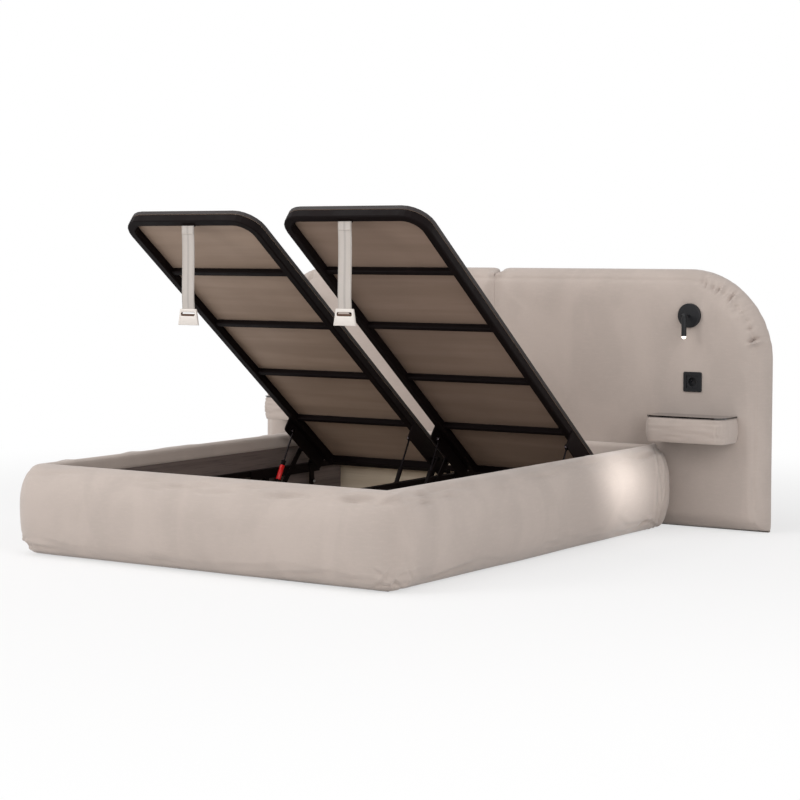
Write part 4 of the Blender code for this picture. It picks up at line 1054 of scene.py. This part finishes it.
for side in SIDES:
    for place in STRUT_AT:
        rolled = collar(f"{side}_{place}_strut_collar", BODY_RADIUS + 0.0012, 0.0050, 0.007)
        clothe(along_strut(rolled, side, place, BODY_LENGTH), black_steel)
        hand_over(rolled, side + "_strut_cylinders", "black_steel")
sleeve = drum("left_strut_sleeve", (0, 0, 0), BODY_RADIUS + 0.0010, 0.070, 28)
pick(sleeve, "FACE", lambda face: abs(face.normal.z) > 0.9)
bpy.ops.mesh.inset(thickness=0.0009)
bpy.ops.mesh.delete(type="FACE")
apply(sleeve, "SOLIDIFY", thickness=0.0006, offset=-1)
round_edges(sleeve, 0.0003, 2, angle=50)
shade(sleeve, 40)
clothe(along_strut(sleeve, "left", "outer", BODY_LENGTH - 0.056), red_band)
hand_over(sleeve, "left_strut_cylinders", "black_plastic")

# %% Nuts on the outer lower pins
REAR_FOOT = Vector((0, 0.710363, 0.130))
FRONT_FOOT = Vector((0, 0.453676, 0.100))
NUT_X, THREAD_X = 0.7735, 0.7705
NUT_RADIUS, THREAD_RADIUS = 0.0072, 0.0036


def nut(foot):
    """A hexagon nut on the face of a pin, its rim chamfered and its thread end domed."""
    body = drum("nut", (NUT_X, foot.y, foot.z), NUT_RADIUS, 0.0050, 6, math.pi / 2)
    round_edges(body, 0.0007, 2, angle=40)
    end = drum("end", (THREAD_X, foot.y, foot.z), THREAD_RADIUS, 0.0036, 16, math.pi / 2)
    round_edges(end, 0.0010, 3, angle=40)
    whole = join("nut", [body, end])
    shade(whole, 35)
    return clothe(whole, zinc_steel)


nuts = join("right_pin_nuts", [nut(foot) for foot in (REAR_FOOT, FRONT_FOOT, STRUT_FOOT)])
for side, piece in (("right", nuts), ("left", twin(nuts, "left_pin_nuts"))):
    hand_over(piece, "base", "zinc_steel")

# %% Screws of the joining plate
plate_low, plate_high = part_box("headboard_joining_plate")
SCREW_RADIUS, SCREW_RISE, SCREW_ROWS = 0.0055, 0.0028, 4
screws = []
for row in range(SCREW_ROWS):
    for across in (-0.3, 0.3):
        spot = Vector((across * (plate_high.x - plate_low.x), plate_high.y - 0.0002,
                       plate_low.z + (row + 0.5) / SCREW_ROWS * (plate_high.z - plate_low.z)))
        bpy.ops.mesh.primitive_uv_sphere_add(segments=20, ring_count=12,
                                             radius=SCREW_RADIUS, location=spot)
        head = bpy.context.object
        pick_all(head)
        bpy.ops.mesh.bisect(plane_co=spot, plane_no=(0, 1, 0), clear_inner=True, use_fill=True)
        head.scale.y = SCREW_RISE / SCREW_RADIUS
        done(head, "screw")
        screws.append(head)
plate_screws = join("joining_plate_screws", screws)
shade(plate_screws, 50)
clothe(plate_screws, zinc_steel)
hand_over(plate_screws, "base", "zinc_steel")

# %% [markdown]
# ## The reading lamps' lens
# The diode sits behind a small frosted dome at the lamp's tip. A sphere is cut in half by
# a bisect and stretched a little, so that it glows as a round spot from every side.

# %% Lens domes
lens_low, lens_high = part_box("right_lamp_lens")
centre = (lens_low + lens_high) / 2
bpy.ops.mesh.primitive_uv_sphere_add(segments=28, ring_count=16, radius=0.0100,
                                     location=(centre.x, centre.y, lens_high.z - 0.0006))
dome = bpy.context.object
pick_all(dome)
bpy.ops.mesh.bisect(plane_co=dome.location, plane_no=(0, 0, 1), clear_outer=True, use_fill=True)
dome.scale.z = 1.15
done(dome, "right_lens_dome")
shade(dome, 50)
clothe(dome, lens_glow)
for side, piece in (("right", dome), ("left", twin(dome, "left_lens_dome"))):
    hand_over(piece, side + "_lamp_head", "lamp_lens", side + "_lamp_lens")

# %% [markdown]
# ## Floor, background and light
# The bed stands in a white studio. The floor and the world only look white to the camera
# and to mirrors; what lights the bed is a soft sky and three large lamps, so that a
# finish shows about as bright as its colour says. A small fourth lamp gives the bright
# patch at the head end of the box's side.

# %% Floor
bpy.ops.mesh.primitive_plane_add(size=60, location=(0, 0, 0))
floor = bpy.context.object
floor.name = "studio_floor"
paper = Finish("studio_paper", (0.86, 0.86, 0.86), 0.95)
seen = [paper.node("ShaderNodeLightPath", out=f"Is {kind} Ray")
        for kind in ("Camera", "Glossy", "Transmission")]
seen = paper.node("ShaderNodeClamp", {}, {0: seen[0] + seen[1] + seen[2]})
away = paper.node("ShaderNodeVectorMath", {"operation": "LENGTH"},
                  {0: paper.node("ShaderNodeTexCoord", out="Object")}, out=1)
white = paper.node("ShaderNodeEmission", {}, {"Color": (1, 1, 1, 1), "Strength": 1.0})
NEAR_SHARE, NEAR, FAR = 0.62, 1.8, 4.5
share = paper.within(away, NEAR, FAR) * (1 - NEAR_SHARE) + NEAR_SHARE
blend = paper.node("ShaderNodeMixShader", {}, {0: seen * share})
paper.tree.links.new(paper.shader.outputs[0], blend.socket.node.inputs[1])
paper.tree.links.new(white.socket, blend.socket.node.inputs[2])
paper.tree.links.new(blend.socket, paper.tree.nodes["Material Output"].inputs["Surface"])
clothe(floor, paper.material)
print("floor ready")

# %% Sky and lamps
SKY_STRENGTH = 0.50
BED = (0, 0, 0.4)
world = bpy.data.worlds.new("studio")
scene.world = world
world.use_nodes = True
tree = world.node_tree
sky = tree.nodes["Background"]
sky.inputs["Color"].default_value = (1.0, 0.985, 0.985, 1)
sky.inputs["Strength"].default_value = SKY_STRENGTH
backdrop = tree.nodes.new("ShaderNodeBackground")
backdrop.inputs["Color"].default_value = (1, 1, 1, 1)
rays = tree.nodes.new("ShaderNodeLightPath")
total = rays.outputs["Is Camera Ray"]
for kind in ("Is Glossy Ray", "Is Transmission Ray"):
    added = tree.nodes.new("ShaderNodeMath")
    added.operation, added.use_clamp = "ADD", True
    tree.links.new(total, added.inputs[0])
    tree.links.new(rays.outputs[kind], added.inputs[1])
    total = added.outputs[0]
mixed = tree.nodes.new("ShaderNodeMixShader")
tree.links.new(total, mixed.inputs[0])
tree.links.new(sky.outputs[0], mixed.inputs[1])
tree.links.new(backdrop.outputs[0], mixed.inputs[2])
tree.links.new(mixed.outputs[0], tree.nodes["World Output"].inputs["Surface"])


def lamp(name, place, aim, size, watts, colour=(1, 1, 1), spread=180):
    data = bpy.data.lights.new(name, "AREA")
    data.shape, data.size, data.energy, data.color = "SQUARE", size, watts, colour
    data.spread = math.radians(spread)
    made = bpy.data.objects.new(name, data)
    scene.collection.objects.link(made)
    made.location = place
    way = Vector(aim) - Vector(place)
    made.rotation_euler = way.to_track_quat("-Z", "Y").to_euler()


lamp("key", (-6.0, -8.6, 4.6), BED, 4.3, 415, (1.0, 0.985, 0.975))
lamp("fill", (6.0, -3.0, 3.0), (0.3, 0, 0.4), 4.0, 150, (1.0, 0.985, 0.98))
lamp("top", (-1.2, -1.6, 4.9), BED, 4.0, 82)
lamp("corner", (2.0, -0.30, 0.60), (0.94, 0.56, 0.25), 0.2, 0.33, spread=18)
print("lamps ready")
